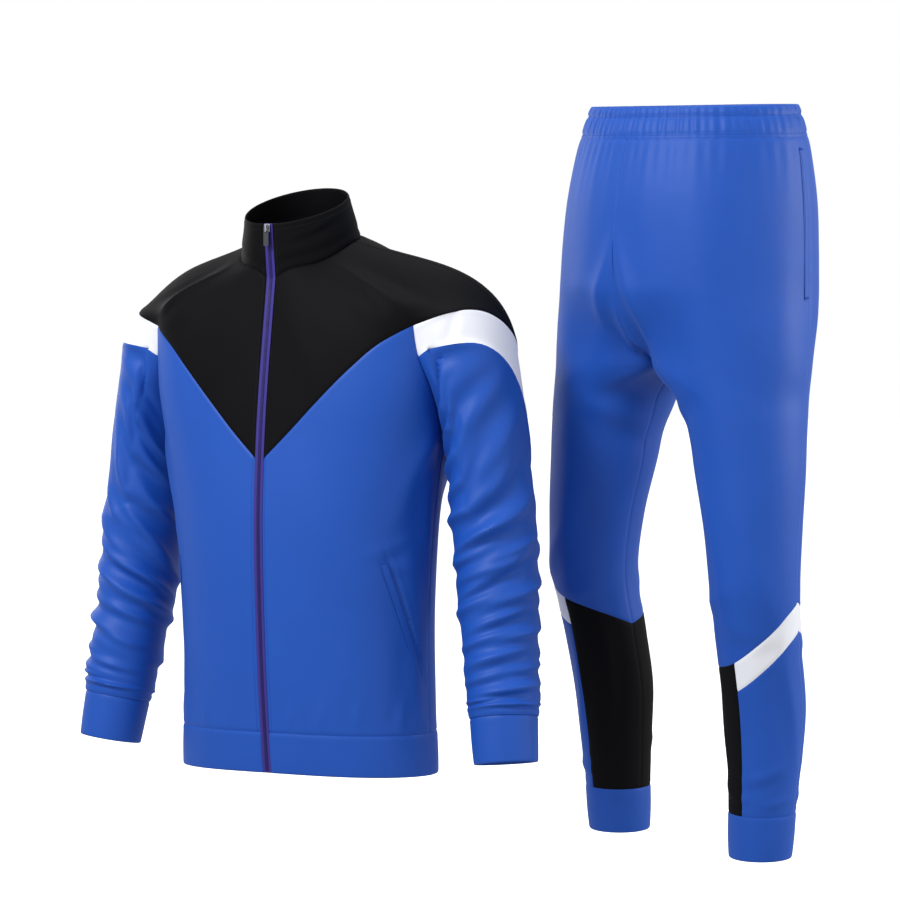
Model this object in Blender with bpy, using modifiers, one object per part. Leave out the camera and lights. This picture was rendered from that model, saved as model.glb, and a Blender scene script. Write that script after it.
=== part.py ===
"""Tracksuit of a zipped jacket and cuffed trousers, filled out as if worn and hollow inside.

The jacket faces -Y with its neck at the origin. The trousers hang beside it and are turned
a little further. Each cloth piece is a thin wall on a surface worked out from short tables of
garment sizes. Tables are in millimetres and degrees; the meshes are in metres, +Z up.
"""

import math

import bmesh
import bpy
import numpy as np
from mathutils import Matrix, Vector

MM = 0.001
SEAM_GAP = 0.3
WALL = 1.6
DOUBLE_WALL = 2.4
ZIP_HALF = 6.5

# Where the trousers hang beside the jacket, and how much further they are turned.
TROUSERS_AT = (456.0, 230.0, 0.0)
TROUSERS_TURN = -20.0
TROUSERS_LEAN = 3.5
LEAN_AXIS_TURN = 23.5

# Grid sizes: segments along each seam, and rows down each piece.
VEE_SEGMENTS = 6
BACK_SEGMENTS = 6
CAP_SEGMENTS = 10
BAND_ROWS = 2
ARM_SEGMENTS = 4
YOKE_ROWS = 6
BODY_ROWS = 9
SLEEVE_ROWS = 26
SHOULDER_COLUMN = 5

# Jacket body, one row per level from armhole to hem.
BODY_COLUMNS = ("height", "half_width", "front", "back", "squareness")
BODY_LEVELS = (
    (-60, 211, 112, 118, 3.1),
    (-86, 210, 115, 122, 3.0),
    (-164, 207, 124, 126, 2.8),
    (-237, 197, 129.5, 121, 2.5),
    (-330, 183, 134.5, 112, 2.3),
    (-447, 176, 131.5, 107, 2.2),
    (-572, 177, 123, 106, 2.2),
    (-675, 181, 112, 106, 2.2),
)

# Neckline where the collar is sewn on, as an ellipse around the neck.
NECK_CENTRE_Y = -22.6
NECK_HALF_WIDTH = 78.0
NECK_HALF_DEPTH = 77.4
NECK_COLUMNS = ("angle", "height", "slope_out", "slope_up")
NECK_LEVELS = (
    (0, -22, 1.0, 0.15),
    (12, -14, 1.0, 0.25),
    (47, -2, 0.75, 0.75),
    (90, 24, 0.38, 0.93),
    (135, 36, 0.38, 0.93),
    (180, 41, 0.8, 0.6),
)
COLLAR_TOP_CENTRE = (0.0, -33.0, 73.4)
COLLAR_TOP_HALF_WIDTH = 64.4
COLLAR_TOP_HALF_DEPTH = 79.3
COLLAR_TILT = 19.0
COLLAR_ROWS = 2

# Yoke line on the front: angle round the body and height.
VEE_LINE = (
    (0.0, -257.0),
    (16.5, -220.5),
    (33.0, -178.0),
    (46.4, -139.6),
    (57.7, -107.6),
    (64.6, -93.5),
    (69.4, -85.0),
)
# Yoke line on the back, from the armhole to the centre.
BACK_LINE = (
    (112.0, -150.0),
    (128.0, -166.0),
    (148.0, -179.0),
    (166.0, -185.0),
    (180.0, -186.5),
)
# Armhole seam: angle round the body and height, from the yoke line to the underarm.
ARMHOLE_FRONT = (
    (69.4, -85.0),
    (71.5, -124.0),
    (78.0, -164.0),
    (84.0, -197.0),
    (92.0, -243.0),
)
ARMHOLE_BACK = (
    (112.0, -150.0),
    (107.5, -180.0),
    (103.0, -205.0),
    (97.5, -231.0),
    (92.0, -243.0),
)
BAND_FRONT_SHARE = 0.23
BAND_BACK_SHARE = 0.42

# Yoke line over the sleeve head: place, then the way the cloth faces.
CAP_COLUMNS = ("x", "y", "z", "face_x", "face_y", "face_z")
CAP_LINE = (
    (231, -56, -71, 0.20, -0.88, 0.43),
    (248, -30, -65, 0.50, -0.50, 0.70),
    (262, 2, -68, 0.74, -0.10, 0.66),
    (274, 34, -84, 0.88, 0.15, 0.45),
    (278, 56, -104, 0.90, 0.38, 0.22),
    (266, 79, -126, 0.60, 0.78, 0.20),
    (234, 90, -143, 0.15, 0.97, 0.15),
)

# Sleeve, one row per ring from the upper arm to the cuff.
SLEEVE_COLUMNS = ("x", "y", "z", "radius_x", "radius_y")
SLEEVE_RINGS = (
    (264, 15, -312, 54, 62),
    (271, 13, -378, 52, 58),
    (276, 9, -440, 50.5, 55),
    (284, 0, -502, 47, 51),
    (292, -9, -560, 46, 48),
    (296, -14, -590, 44.5, 45.5),
)
CUFF_RINGS = (
    (295, -14, -590, 42, 42),
    (299, -18, -616, 41.5, 41.5),
    (303, -22, -648, 40.5, 40.5),
)
SLEEVE_SWEEP = 0.6
CAP_PULL = 0.7
YOKE_FULLNESS = 1.3
BAND_DEPTHS = (
    (0.0, 38.0),
    (0.25, 54.0),
    (0.4, 74.0),
    (0.55, 98.0),
    (0.75, 102.0),
    (1.0, 74.0),
)

HEM_TOP = -618.0
HEM_BOTTOM = -673.0
HEM_FRONT_LIFT = 5.0
HEM_ROWS = 2

# Main sleeve folds: place round the sleeve, share of its length, reach round and down, height, slant.
FOLD_COLUMNS = ("around", "down", "reach", "width", "height", "slant")
SLEEVE_FOLDS = (
    (0.26, 0.26, 0.15, 0.030, 4.0, -0.45),
    (0.34, 0.36, 0.17, 0.030, 4.5, -0.36),
    (0.26, 0.47, 0.15, 0.026, 4.0, -0.28),
    (0.42, 0.55, 0.15, 0.024, 4.5, -0.24),
    (0.22, 0.60, 0.14, 0.022, 4.5, -0.18),
    (0.40, 0.68, 0.16, 0.022, 4.5, -0.14),
    (0.24, 0.76, 0.15, 0.020, 4.5, -0.10),
    (0.40, 0.84, 0.17, 0.018, 5.0, -0.10),
    (0.28, 0.93, 0.18, 0.018, 4.0, -0.06),
    (0.72, 0.34, 0.16, 0.028, 4.0, 0.28),
    (0.80, 0.50, 0.16, 0.024, 4.5, 0.18),
    (0.70, 0.64, 0.16, 0.022, 4.0, 0.12),
    (0.80, 0.76, 0.16, 0.020, 4.5, 0.08),
    (0.72, 0.89, 0.18, 0.018, 4.0, 0.04),
)

# Trousers, one row per level. Fork 0 is a half ring round the hips, fork 1 a whole leg ring.
LEG_COLUMNS = (
    "height", "fork", "centre_y", "half_width", "front", "back", "squareness",
    "leg_x", "leg_y", "radius_x", "radius_y", "saddle", "end_lift",
    "leg_square",
)
LEG_LEVELS = (
    (206, 0.0, -3, 152, 113, 113, 2.0, 100, -10, 99, 100, 0, -2, 2.7),
    (164, 0.0, -4, 166, 126, 126, 2.0, 100, -10, 99, 100, 0, -2, 2.7),
    (100, 0.0, -7, 177, 139, 139, 2.05, 100, -10, 99, 100, 0, -1, 2.7),
    (20, 0.0, -11, 183, 142, 145, 2.1, 98, -14, 98, 98, 0, 0, 2.7),
    (-20, 0.0, -13, 185, 141, 145, 2.1, 98, -17, 98, 98, 0, 0, 2.7),
    (-50, 0.25, -15, 187, 139, 144, 2.1, 98, -20, 98, 98, 0, 0, 2.7),
    (-80, 0.51, -17, 189, 136, 141, 2.1, 98, -22, 98, 98, 1, 0, 2.7),
    (-109, 0.75, -19, 190, 131, 137, 2.1, 98, -23, 98, 97, 4, 0, 2.7),
    (-138, 1.0, -22, 192, 124, 131, 2.1, 98, -24, 98, 96, 14, 0, 2.7),
    (-172, 1.0, -26, 190, 110, 110, 2.1, 117, -28, 79, 87, 0, 0, 2.45),
    (-198, 1.0, -26, 190, 110, 110, 2.1, 123, -31, 76, 82, 0, 0, 2.2),
    (-228, 1.0, -26, 190, 110, 110, 2.1, 129, -34, 72.5, 77, 0, 0, 2.05),
    (-263, 1.0, -30, 190, 110, 110, 2.1, 133, -36, 71, 73, 0, 0, 2.0),
    (-343, 1.0, -30, 190, 110, 110, 2.1, 143, -41, 62.5, 65, 0, 0, 2.0),
    (-423, 1.0, -30, 190, 110, 110, 2.1, 147, -41, 57, 59, 0, 0, 2.0),
    (-503, 1.0, -30, 190, 110, 110, 2.1, 142, -26, 54, 56, 0, 0, 2.0),
    (-583, 1.0, -30, 190, 110, 110, 2.1, 139, -12, 52, 54, 0, 0, 2.0),
    (-646, 1.0, -30, 190, 110, 110, 2.1, 137, -10, 48, 49, 0, 0, 2.0),
    (-700, 1.0, -30, 190, 110, 110, 2.1, 134, -10, 44, 45, 0, 0, 2.0),
    (-780, 1.0, -30, 190, 110, 110, 2.1, 130, -10, 40, 41, 0, 0, 2.0),
)
# Heights of the rows of the upper legs, closer together at the fork; the last reach the knee line.
LEG_HEIGHTS = (
    164, 115, 60, 10, -25, -54, -80, -103, -123, -138, -154, -175, -205, -250, -310, -380, -450,
)
WAIST_TOP = 206.0
WAIST_SEAM = 164.0
CUFF_SEAM = -718.0
CUFF_END = -778.0
SIDE_SEAM = 0.565
FRONT_LINE = 0.267
BACK_LINE_LEG = 0.80

# Top edge of the knee stripe: place round the leg and height, before and behind the side seam.
STRIPE_TOP = {
    "left": (
        ((0.0, -530), (0.12, -524), (0.267, -512), (0.40, -478), (0.50, -448), (0.565, -434)),
        ((0.565, -434), (0.66, -450), (0.80, -495), (1.0, -530)),
    ),
    "right": (
        ((0.0, -490), (0.12, -472), (0.267, -454), (0.40, -438), (0.50, -426), (0.565, -420)),
        ((0.565, -420), (0.66, -432), (0.80, -468), (1.0, -490)),
    ),
}
STRIPE_DEPTH = 38.0

# Jacket pocket opening and the width of its welt; trouser pocket edge beside the side seam.
POCKET_TOP = (63.6, -389.0)
POCKET_FOOT = (84.8, -539.0)
WELT_TURN = 3.6
WELT_ROWS = 10
WELT_WALL = 1.0
WELT_RISE = 1.7
LEG_POCKET = (150.0, -45.0)
LEG_POCKET_TURN = (0.026, 0.008)

# Zip strips across the front edge, in from the centre: near edge, far edge, wall and rise.
TAPE_FROM = 2.5
TAPE_TO = 6.35
TAPE_WALL = 1.2
CHAIN_HALF = 2.2
CHAIN_WALL = 1.8
CHAIN_RISE = 0.3

# Slider on the closed zip and its hanging pull tab.
SLIDER_TOP = 47.0
SLIDER_SIZE = (8.0, 2.4, 11.0)
SLIDER_OFF = 3.4
BRIDGE_SIZE = (2.2, 4.4, 10.0)
BRIDGE_BAR = 1.3
PULL_AXIS_OFF = 1.3
PULL_WIDTH = 7.5
PULL_LENGTH = 26.0
PULL_WALL = 1.1
PULL_SLOT = (3.4, 7.6)
PULL_HEAD = 0.6

COLOURS = {
    "royal_knit": (0.020, 0.120, 0.520),
    "black_knit": (0.006, 0.006, 0.008),
    "white_knit": (0.780, 0.790, 0.800),
    "indigo_tape": (0.045, 0.040, 0.250),
    "bright_metal": (0.600, 0.610, 0.620),
    "dark_metal": (0.080, 0.080, 0.085),
}

collection = None


def clear_scene():
    """Remove every object of the opened scene."""
    for obj in list(bpy.data.objects):
        bpy.data.objects.remove(obj, do_unlink=True)


def material(name, roughness=0.7, metallic=0.0):
    """The named finish, made once."""
    found = bpy.data.materials.get(name)
    if found:
        return found
    made = bpy.data.materials.new(name)
    made.use_nodes = True
    shader = made.node_tree.nodes["Principled BSDF"]
    shader.inputs["Base Color"].default_value = (*COLOURS[name], 1.0)
    shader.inputs["Roughness"].default_value = roughness
    shader.inputs["Metallic"].default_value = metallic
    return made


def unit(vectors):
    """Vectors at length one."""
    return vectors / np.linalg.norm(vectors, axis=-1, keepdims=True)


def smooth_curve(knots, values, at):
    """Values at any place along a table, on a smooth curve through its rows."""
    knots = np.asarray(knots, float)
    values = np.asarray(values, float)
    if values.ndim == 1:
        return smooth_curve(knots, values[:, None], at)[..., 0]
    steps = np.diff(knots)[:, None]
    rises = np.diff(values, axis=0) / steps
    slopes = np.empty_like(values)
    slopes[0], slopes[-1] = rises[0], rises[-1]
    slopes[1:-1] = (rises[1:] * steps[:-1] + rises[:-1] * steps[1:]) / (steps[1:] + steps[:-1])
    at = np.clip(np.asarray(at, float), knots[0], knots[-1])
    index = np.clip(np.searchsorted(knots, at, side="right") - 1, 0, len(knots) - 2)
    step = steps[index]
    share = (at - knots[index])[..., None] / step
    return (
        (2 * share**3 - 3 * share**2 + 1) * values[index]
        + (share**3 - 2 * share**2 + share) * step * slopes[index]
        + (3 * share**2 - 2 * share**3) * values[index + 1]
        + (share**3 - share**2) * step * slopes[index + 1]
    )


def rows_of(table):
    """A table of heights, highest first, as rising knots and their rows."""
    table = np.asarray(table, float)
    return -table[:, 0], table[:, 1:]


def body_point(angle, height):
    """Jacket body at an angle in degrees from the front, and a height."""
    angle, height = np.broadcast_arrays(np.asarray(angle, float), np.asarray(height, float))
    knots, rows = rows_of(BODY_LEVELS)
    half, front, back, square = np.moveaxis(smooth_curve(knots, rows, -height), -1, 0)
    turn = np.radians(angle)
    ahead = np.cos(turn) >= 0
    depth = np.where(ahead, front, back)
    start = np.where(ahead, ZIP_HALF, 0.0)
    reach = (
        (np.abs(np.cos(turn)) / depth) ** square + (np.abs(np.sin(turn)) / (half - start)) ** square
    ) ** (-1 / square)
    return np.stack([start + reach * np.sin(turn), -reach * np.cos(turn), height], -1)


def surface_face(surface, first, second, step_first, step_second):
    """Unit vector that a surface faces, from points a small step away."""
    along = surface(first + step_first, second) - surface(first - step_first, second)
    down = surface(first, second + step_second) - surface(first, second - step_second)
    return unit(np.cross(down, along))


def body_face(angle, height):
    """Outward direction of the jacket body."""
    inner = np.clip(angle, 0.6, 179.4)
    faces = -surface_face(body_point, inner, height, 0.5, 1.0)
    centre = np.asarray(angle) < 0.6
    faces[..., 0] = np.where(centre | (np.asarray(angle) > 179.4), 0.0, faces[..., 0])
    return unit(faces)


def along_table(table, segments):
    """Evenly spaced places along a two-column line drawn on the body."""
    table = np.asarray(table, float)
    points = body_point(table[:, 0], table[:, 1])
    run = np.concatenate([[0.0], np.cumsum(np.linalg.norm(np.diff(points, axis=0), axis=1))])
    shares = np.asarray(segments, float) * run[-1]
    return smooth_curve(run, table, shares)


def vee_places():
    return along_table(VEE_LINE, np.linspace(0, 1, VEE_SEGMENTS + 1))


def back_places():
    return along_table(BACK_LINE, np.linspace(0, 1, BACK_SEGMENTS + 1))


def armhole_places(table, band_share):
    """Places down an armhole seam: the band's side edge, then the rest to the underarm."""
    upper = np.linspace(0, band_share, BAND_ROWS + 1)
    lower = np.linspace(band_share, 1, ARM_SEGMENTS + 1)
    return along_table(table, np.concatenate([upper, lower[1:]]))


def neck_point(angle, height):
    """Neckline at an angle in degrees from the front."""
    turn = np.radians(angle)
    start = ZIP_HALF * (1 - np.clip(np.asarray(angle, float) / 90, 0, 1))
    return np.stack(
        [
            start + (NECK_HALF_WIDTH - start) * np.sin(turn),
            NECK_CENTRE_Y - NECK_HALF_DEPTH * np.cos(turn),
            height,
        ],
        -1,
    )


def neck_edge():
    """Neckline points and the way the cloth faces there, from front centre to back centre."""
    count = VEE_SEGMENTS + CAP_SEGMENTS + BACK_SEGMENTS + 1
    angles = smooth_curve(
        [0, VEE_SEGMENTS, VEE_SEGMENTS + SHOULDER_COLUMN, VEE_SEGMENTS + CAP_SEGMENTS, count - 1],
        [0, 56, 92, 128, 180],
        np.arange(count),
    )
    table = np.asarray(NECK_LEVELS, float)
    height, out, up = np.moveaxis(smooth_curve(table[:, 0], table[:, 1:], angles), -1, 0)
    turn = np.radians(angles)
    faces = np.stack([out * np.sin(turn), -out * np.cos(turn), up], -1)
    return angles, neck_point(angles, height), unit(faces)


def cap_edge():
    """Yoke line over the sleeve head with the way the cloth faces, from front to back armhole."""
    front = np.array([VEE_LINE[-1]], float)
    back = np.array([BACK_LINE[0]], float)
    table = np.asarray(CAP_LINE, float)
    points = np.concatenate([body_point(*front.T), table[:, :3], body_point(*back.T)])
    faces = np.concatenate([body_face(*front.T), unit(table[:, 3:]), body_face(*back.T)])
    run = np.concatenate([[0.0], np.cumsum(np.linalg.norm(np.diff(points, axis=0), axis=1))])
    shares = np.linspace(0, run[-1], CAP_SEGMENTS + 1)
    return smooth_curve(run, points, shares), unit(smooth_curve(run, faces, shares))


def yoke_edge():
    """Whole yoke line of one side with its facing, from front centre to back centre."""
    vee, back = vee_places(), back_places()
    cap, cap_face = cap_edge()
    points = np.concatenate([body_point(*vee.T), cap[1:-1], body_point(*back.T)])
    faces = np.concatenate([body_face(*vee.T), cap_face[1:-1], body_face(*back.T)])
    return points, faces


def in_plane(vectors, faces):
    """Vectors laid into the planes that face the given ways, at their own length."""
    length = np.linalg.norm(vectors, axis=-1, keepdims=True)
    flat = vectors - faces * np.sum(vectors * faces, axis=-1, keepdims=True)
    return unit(flat) * length


def bridge(start, start_slope, end, end_slope, share):
    """Cubic curves from start to end, one per column, at the given shares."""
    share = np.asarray(share, float)[:, None, None]
    return (
        (2 * share**3 - 3 * share**2 + 1) * start
        + (share**3 - 2 * share**2 + share) * start_slope
        + (3 * share**2 - 2 * share**3) * end
        + (share**3 - share**2) * end_slope
    )


def grid_faces(points, wrap=False):
    """Outward unit vectors of a grid whose rows go down and columns go round from the front."""
    down = np.gradient(points, axis=0)
    if wrap:
        around = np.roll(points, -1, axis=1) - np.roll(points, 1, axis=1)
    else:
        around = np.gradient(points, axis=1)
    return unit(np.cross(down, around))


def kept_outward(faces, reference):
    """Facings turned round wherever they point against those of a reference."""
    against = np.sum(faces * reference, axis=-1, keepdims=True) < 0
    return np.where(against, -faces, faces)


def drawn_in(edge, inner, face, wrap=False):
    """Shift that draws one edge of a piece in by half the seam gap, across the seam's own facing."""
    if wrap:
        along = np.roll(edge, -1, axis=0) - np.roll(edge, 1, axis=0)
    else:
        along = np.gradient(edge, axis=0)
    across = unit(np.cross(face, along))
    side = np.sign(np.sum(across * (inner - edge), axis=-1, keepdims=True))
    return across * side * SEAM_GAP / 2


def inset(points, faces, wrap=False):
    """Grid with its open edges drawn in by half the seam gap."""
    made = points.copy()
    for edge, inner in ((0, 1), (-1, -2)):
        made[edge] += drawn_in(points[edge], points[inner], faces[edge], wrap)
        if not wrap:
            made[:, edge] += drawn_in(points[:, edge], points[:, inner], faces[:, edge])
    return made


def wall_object(name, finish, points, faces, wall=WALL, wrap=False, rise=0.0, edges=True):
    """Closed thin wall on a grid of points, as an object of the collection."""
    if edges:
        points = inset(points, faces, wrap)
    rows, columns = points.shape[:2]
    outer = points + faces * (wall / 2 + rise)
    inner = points + faces * (rise - wall / 2)
    verts = np.concatenate([outer.reshape(-1, 3), inner.reshape(-1, 3)]) * MM
    back = rows * columns
    across = columns if wrap else columns - 1

    def at(row, column, side=0):
        return side * back + row * columns + column % columns

    quads = []
    for row in range(rows - 1):
        for column in range(across):
            first, second = (row, column), (row, column + 1)
            third, fourth = (row + 1, column + 1), (row + 1, column)
            for corner in ((first, second, third), (first, third, fourth)):
                quads.append([at(*place) for place in corner])
                quads.append([at(*place, 1) for place in reversed(corner)])
    for column in range(across):
        quads.append([at(0, column), at(0, column, 1), at(0, column + 1, 1), at(0, column + 1)])
        low = rows - 1
        quads.append([at(low, column + 1), at(low, column + 1, 1), at(low, column, 1), at(low, column)])
    if not wrap:
        for row in range(rows - 1):
            quads.append([at(row + 1, 0), at(row + 1, 0, 1), at(row, 0, 1), at(row, 0)])
            far = columns - 1
            quads.append([at(row, far), at(row, far, 1), at(row + 1, far, 1), at(row + 1, far)])
    mesh = bpy.data.meshes.new(name)
    mesh.from_pydata(verts.tolist(), [], quads)
    return finish_object(name, finish, mesh)


def finish_object(name, finish, mesh):
    """Object from a closed mesh, with its faces turned outwards and a finish."""
    work = bmesh.new()
    work.from_mesh(mesh)
    bmesh.ops.recalc_face_normals(work, faces=work.faces)
    work.to_mesh(mesh)
    work.free()
    mesh.shade_smooth()
    mesh.set_sharp_from_angle(angle=math.radians(50))
    mesh.materials.append(material(finish))
    obj = bpy.data.objects.new(name, mesh)
    collection.objects.link(obj)
    return obj


def mirrored(points, faces):
    """The same grid on the other side of the body."""
    flip = np.array([-1.0, 1.0, 1.0])
    return points * flip, faces * flip


def both_sides(stem, finish, points, faces, **options):
    """Left and right copies of a piece."""
    wall_object(stem + "_left", finish, points, faces, **options)
    wall_object(stem + "_right", finish, *mirrored(points, faces), **options)


def across_centre(points, faces):
    """Grid of the left half joined to its mirror image at the last column."""
    other, other_face = mirrored(points, faces)
    return (
        np.concatenate([points, other[:, -2::-1]], axis=1),
        np.concatenate([faces, other_face[:, -2::-1]], axis=1),
    )


def yoke_grid():
    """Black yoke of one side, from the neckline down to the yoke line."""
    _, neck, neck_face = neck_edge()
    edge, edge_face = yoke_edge()
    chord = edge - neck
    shares = np.linspace(0, 1, YOKE_ROWS + 1)
    full = np.ones((len(neck), 1))
    full[VEE_SEGMENTS : VEE_SEGMENTS + CAP_SEGMENTS + 1] = YOKE_FULLNESS
    slope = in_plane(chord, edge_face) * full
    points = bridge(neck, in_plane(chord, neck_face), edge, slope, shares)
    points[:, 0, 0] = ZIP_HALF
    points[:, -1, 0] = 0.0
    faces = grid_faces(points)
    faces[0], faces[-1] = unit(neck_face + collar_points_faces()[1][-1]), edge_face
    faces[:, [0, -1], 0] = 0.0
    return points, unit(faces)


def collar_points_faces():
    """Standing collar of one side, from its top edge down to the neckline."""
    angles, neck, _ = neck_edge()
    turn = np.radians(angles)
    start = ZIP_HALF * (1 - np.clip(angles / 90, 0, 1))
    forward = -COLLAR_TOP_HALF_DEPTH * np.cos(turn)
    tilt = math.radians(COLLAR_TILT)
    top = np.stack(
        [
            start + (COLLAR_TOP_HALF_WIDTH - start) * np.sin(turn),
            COLLAR_TOP_CENTRE[1] + forward * math.cos(tilt),
            COLLAR_TOP_CENTRE[2] + forward * math.sin(tilt),
        ],
        -1,
    )
    shares = np.linspace(0, 1, COLLAR_ROWS + 1)[:, None, None]
    points = top + (neck - top) * shares
    points[:, -1, 0] = 0.0
    faces = grid_faces(points)
    faces[:, [0, -1], 0] = 0.0
    return points, unit(faces)


def collar_grid():
    """The collar with the facing that it shares with the yoke along the neckline."""
    points, faces = collar_points_faces()
    faces[-1] = unit(faces[-1] + neck_edge()[2])
    faces[-1, [0, -1], 0] = 0.0
    return points, unit(faces)


def body_grid(top, bottom, rows, lift=None):
    """Part of the jacket body between two lines of places, and its facing."""
    shares = np.linspace(0, 1, rows + 1)[:, None, None]
    places = top + (bottom - top) * shares
    points = body_point(places[..., 0], places[..., 1])
    faces = body_face(places[..., 0], places[..., 1])
    if lift is not None:
        points[..., 2] += lift(places)
    return points, faces


def hem_lift(places):
    """The lower body rises a little towards the centre front."""
    low = np.clip((places[..., 1] + 450) / (HEM_BOTTOM + 450), 0, 1)
    return HEM_FRONT_LIFT * low * np.clip(np.cos(np.radians(places[..., 0])), 0, 1)


def sleeve_ring(table, around):
    """Rings of a sleeve table at the given shares round them, starting at the underarm."""
    table = np.asarray(table, float)
    centres = table[:, :3]
    axis = unit(np.gradient(centres, axis=0))
    side = unit(np.cross(np.array([0.0, 1.0, 0.0]), -axis))
    ahead = unit(np.cross(axis, side))
    turn = 2 * np.pi * around[None, :, None]
    return (
        centres[:, None]
        - side[:, None] * table[:, 3, None, None] * np.cos(turn)
        + ahead[:, None] * table[:, 4, None, None] * np.sin(turn)
    )


def fold_height(around, down, table):
    """Height of the folds at places on a sleeve."""
    total = np.zeros(np.broadcast(around, down).shape)
    for place, level, reach, width, height, slant in table:
        aside = (around - place + 0.5) % 1 - 0.5
        off = down - level - slant * aside
        total += height * np.exp(-((aside / reach) ** 2) - (off / width) ** 2)
    return total


class Sleeve:
    """Surface of a sleeve, by share round it from the underarm and share of its length."""

    def __init__(self):
        front = armhole_places(ARMHOLE_FRONT, BAND_FRONT_SHARE)
        back = armhole_places(ARMHOLE_BACK, BAND_BACK_SHARE)
        cap, cap_face = cap_edge()
        self.places = np.concatenate([front[::-1], back])
        start = np.concatenate([body_point(*front[::-1].T), cap[1:-1], body_point(*back.T)])
        run = np.concatenate([[0.0], np.cumsum(np.linalg.norm(np.diff(start, axis=0), axis=1))])
        self.around = run / run[-1]
        rings = sleeve_ring(SLEEVE_RINGS, self.around)
        chord = rings[0] - start
        slope = unit(chord) + SLEEVE_SWEEP * np.array([1.0, 0.0, 0.0])
        slope = unit(slope) * np.linalg.norm(chord, axis=-1, keepdims=True)
        count = len(front)
        middle = slice(count, count + len(cap) - 2)
        slope[middle] = in_plane(chord[middle], cap_face[1:-1]) * CAP_PULL
        for corner, face in ((count - 1, cap_face[0]), (count + len(cap) - 2, cap_face[-1])):
            slope[corner] = in_plane(slope[corner : corner + 1], face)[0]
        self.front_count, self.cap_count = count, len(cap)
        along = np.gradient(start, axis=0)
        along[0] = along[-1] = unit(start[1] - start[-2]) * 10
        self.start_face = unit(np.cross(slope, along))
        self.start_face[middle] = cap_face[1:-1]
        arm = np.concatenate([np.arange(count), np.arange(count + len(cap) - 2, len(start))])
        body = np.concatenate([body_face(*front[::-1].T), body_face(*back.T)])
        self.start_face[arm] = unit(self.start_face[arm] + body)
        self.front_face = self.start_face[:count][::-1]
        self.back_face = self.start_face[-len(back) :]
        self.knots = np.concatenate([[0.0], np.linspace(0.28, 1.0, len(rings))])
        self.rows = np.concatenate([start[None], rings])
        steps = np.diff(self.knots)[:, None, None]
        rises = np.diff(self.rows, axis=0) / steps
        self.slopes = np.empty_like(self.rows)
        self.slopes[0] = slope / steps[0]
        self.slopes[-1] = rises[-1]
        self.slopes[1:-1] = (rises[1:] * steps[:-1] + rises[:-1] * steps[1:]) / (steps[1:] + steps[:-1])

    def column(self, around):
        """Rows and slopes of the surface at shares round the sleeve."""
        pick = lambda grid: np.stack(
            [smooth_curve(self.around, level, around) for level in grid]
        )
        return pick(self.rows), pick(self.slopes)

    def point(self, around, down):
        """Points at matching arrays of shares round and shares down."""
        around, down = np.broadcast_arrays(around, down)
        rows, slopes = self.column(around.ravel())
        place = np.clip(down.ravel(), 0, 1)
        index = np.clip(np.searchsorted(self.knots, place, side="right") - 1, 0, len(self.knots) - 2)
        step = np.diff(self.knots)[index][:, None]
        share = (place - self.knots[index])[:, None] / step
        each = np.arange(len(place))
        made = (
            (2 * share**3 - 3 * share**2 + 1) * rows[index, each]
            + (share**3 - 2 * share**2 + share) * step * slopes[index, each]
            + (3 * share**2 - 2 * share**3) * rows[index + 1, each]
            + (share**3 - share**2) * step * slopes[index + 1, each]
        )
        return made.reshape(*around.shape, 3)

    def face(self, around, down):
        """Outward direction of the sleeve at the same places."""
        small = 0.004
        turned = lambda shift: self.point((around + shift) % 1, down)
        low, high = np.clip(down - small, 0, 1), np.clip(down + small, 0, 1)
        length = self.point(around, high) - self.point(around, low)
        return unit(np.cross(length, turned(small) - turned(-small)))


def band_places(sleeve):
    """Top and bottom edges of the white band, as places on the sleeve."""
    cap = np.arange(sleeve.front_count - 1, sleeve.front_count + sleeve.cap_count - 1)
    top_around = sleeve.around[cap]
    first = sleeve.around[ARM_SEGMENTS]
    last = sleeve.around[-ARM_SEGMENTS - 1]
    shares = np.linspace(0, 1, CAP_SEGMENTS + 1)
    low_around = first + (last - first) * shares
    depth = band_depth(sleeve, low_around)
    top = np.stack([top_around, np.zeros_like(top_around)], -1)
    low = np.stack([low_around, depth], -1)
    return top, low


def band_depth(sleeve, around):
    """Share of the sleeve's length at the lower edge of the band."""
    first = sleeve.around[ARM_SEGMENTS]
    last = sleeve.around[-ARM_SEGMENTS - 1]
    corner_front = sleeve.around[sleeve.front_count - 1]
    corner_back = sleeve.around[sleeve.front_count + sleeve.cap_count - 2]
    table = np.asarray(BAND_DEPTHS, float)
    shares = (around - corner_front) / (corner_back - corner_front)
    depth = smooth_curve(table[:, 0], table[:, 1], shares)
    front_rise = np.clip((around - first) / (corner_front - first), 0, 1)
    back_rise = np.clip((last - around) / (last - corner_back), 0, 1)
    reach = np.linalg.norm(
        sleeve.point(around, np.full_like(around, 0.10)) - sleeve.point(around, np.zeros_like(around)),
        axis=-1,
    )
    return depth * np.minimum(front_rise, back_rise) * 0.10 / reach


def between(top, bottom, shares):
    """Places between two edges."""
    return top + (bottom - top) * np.asarray(shares, float)[:, None, None]


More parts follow.
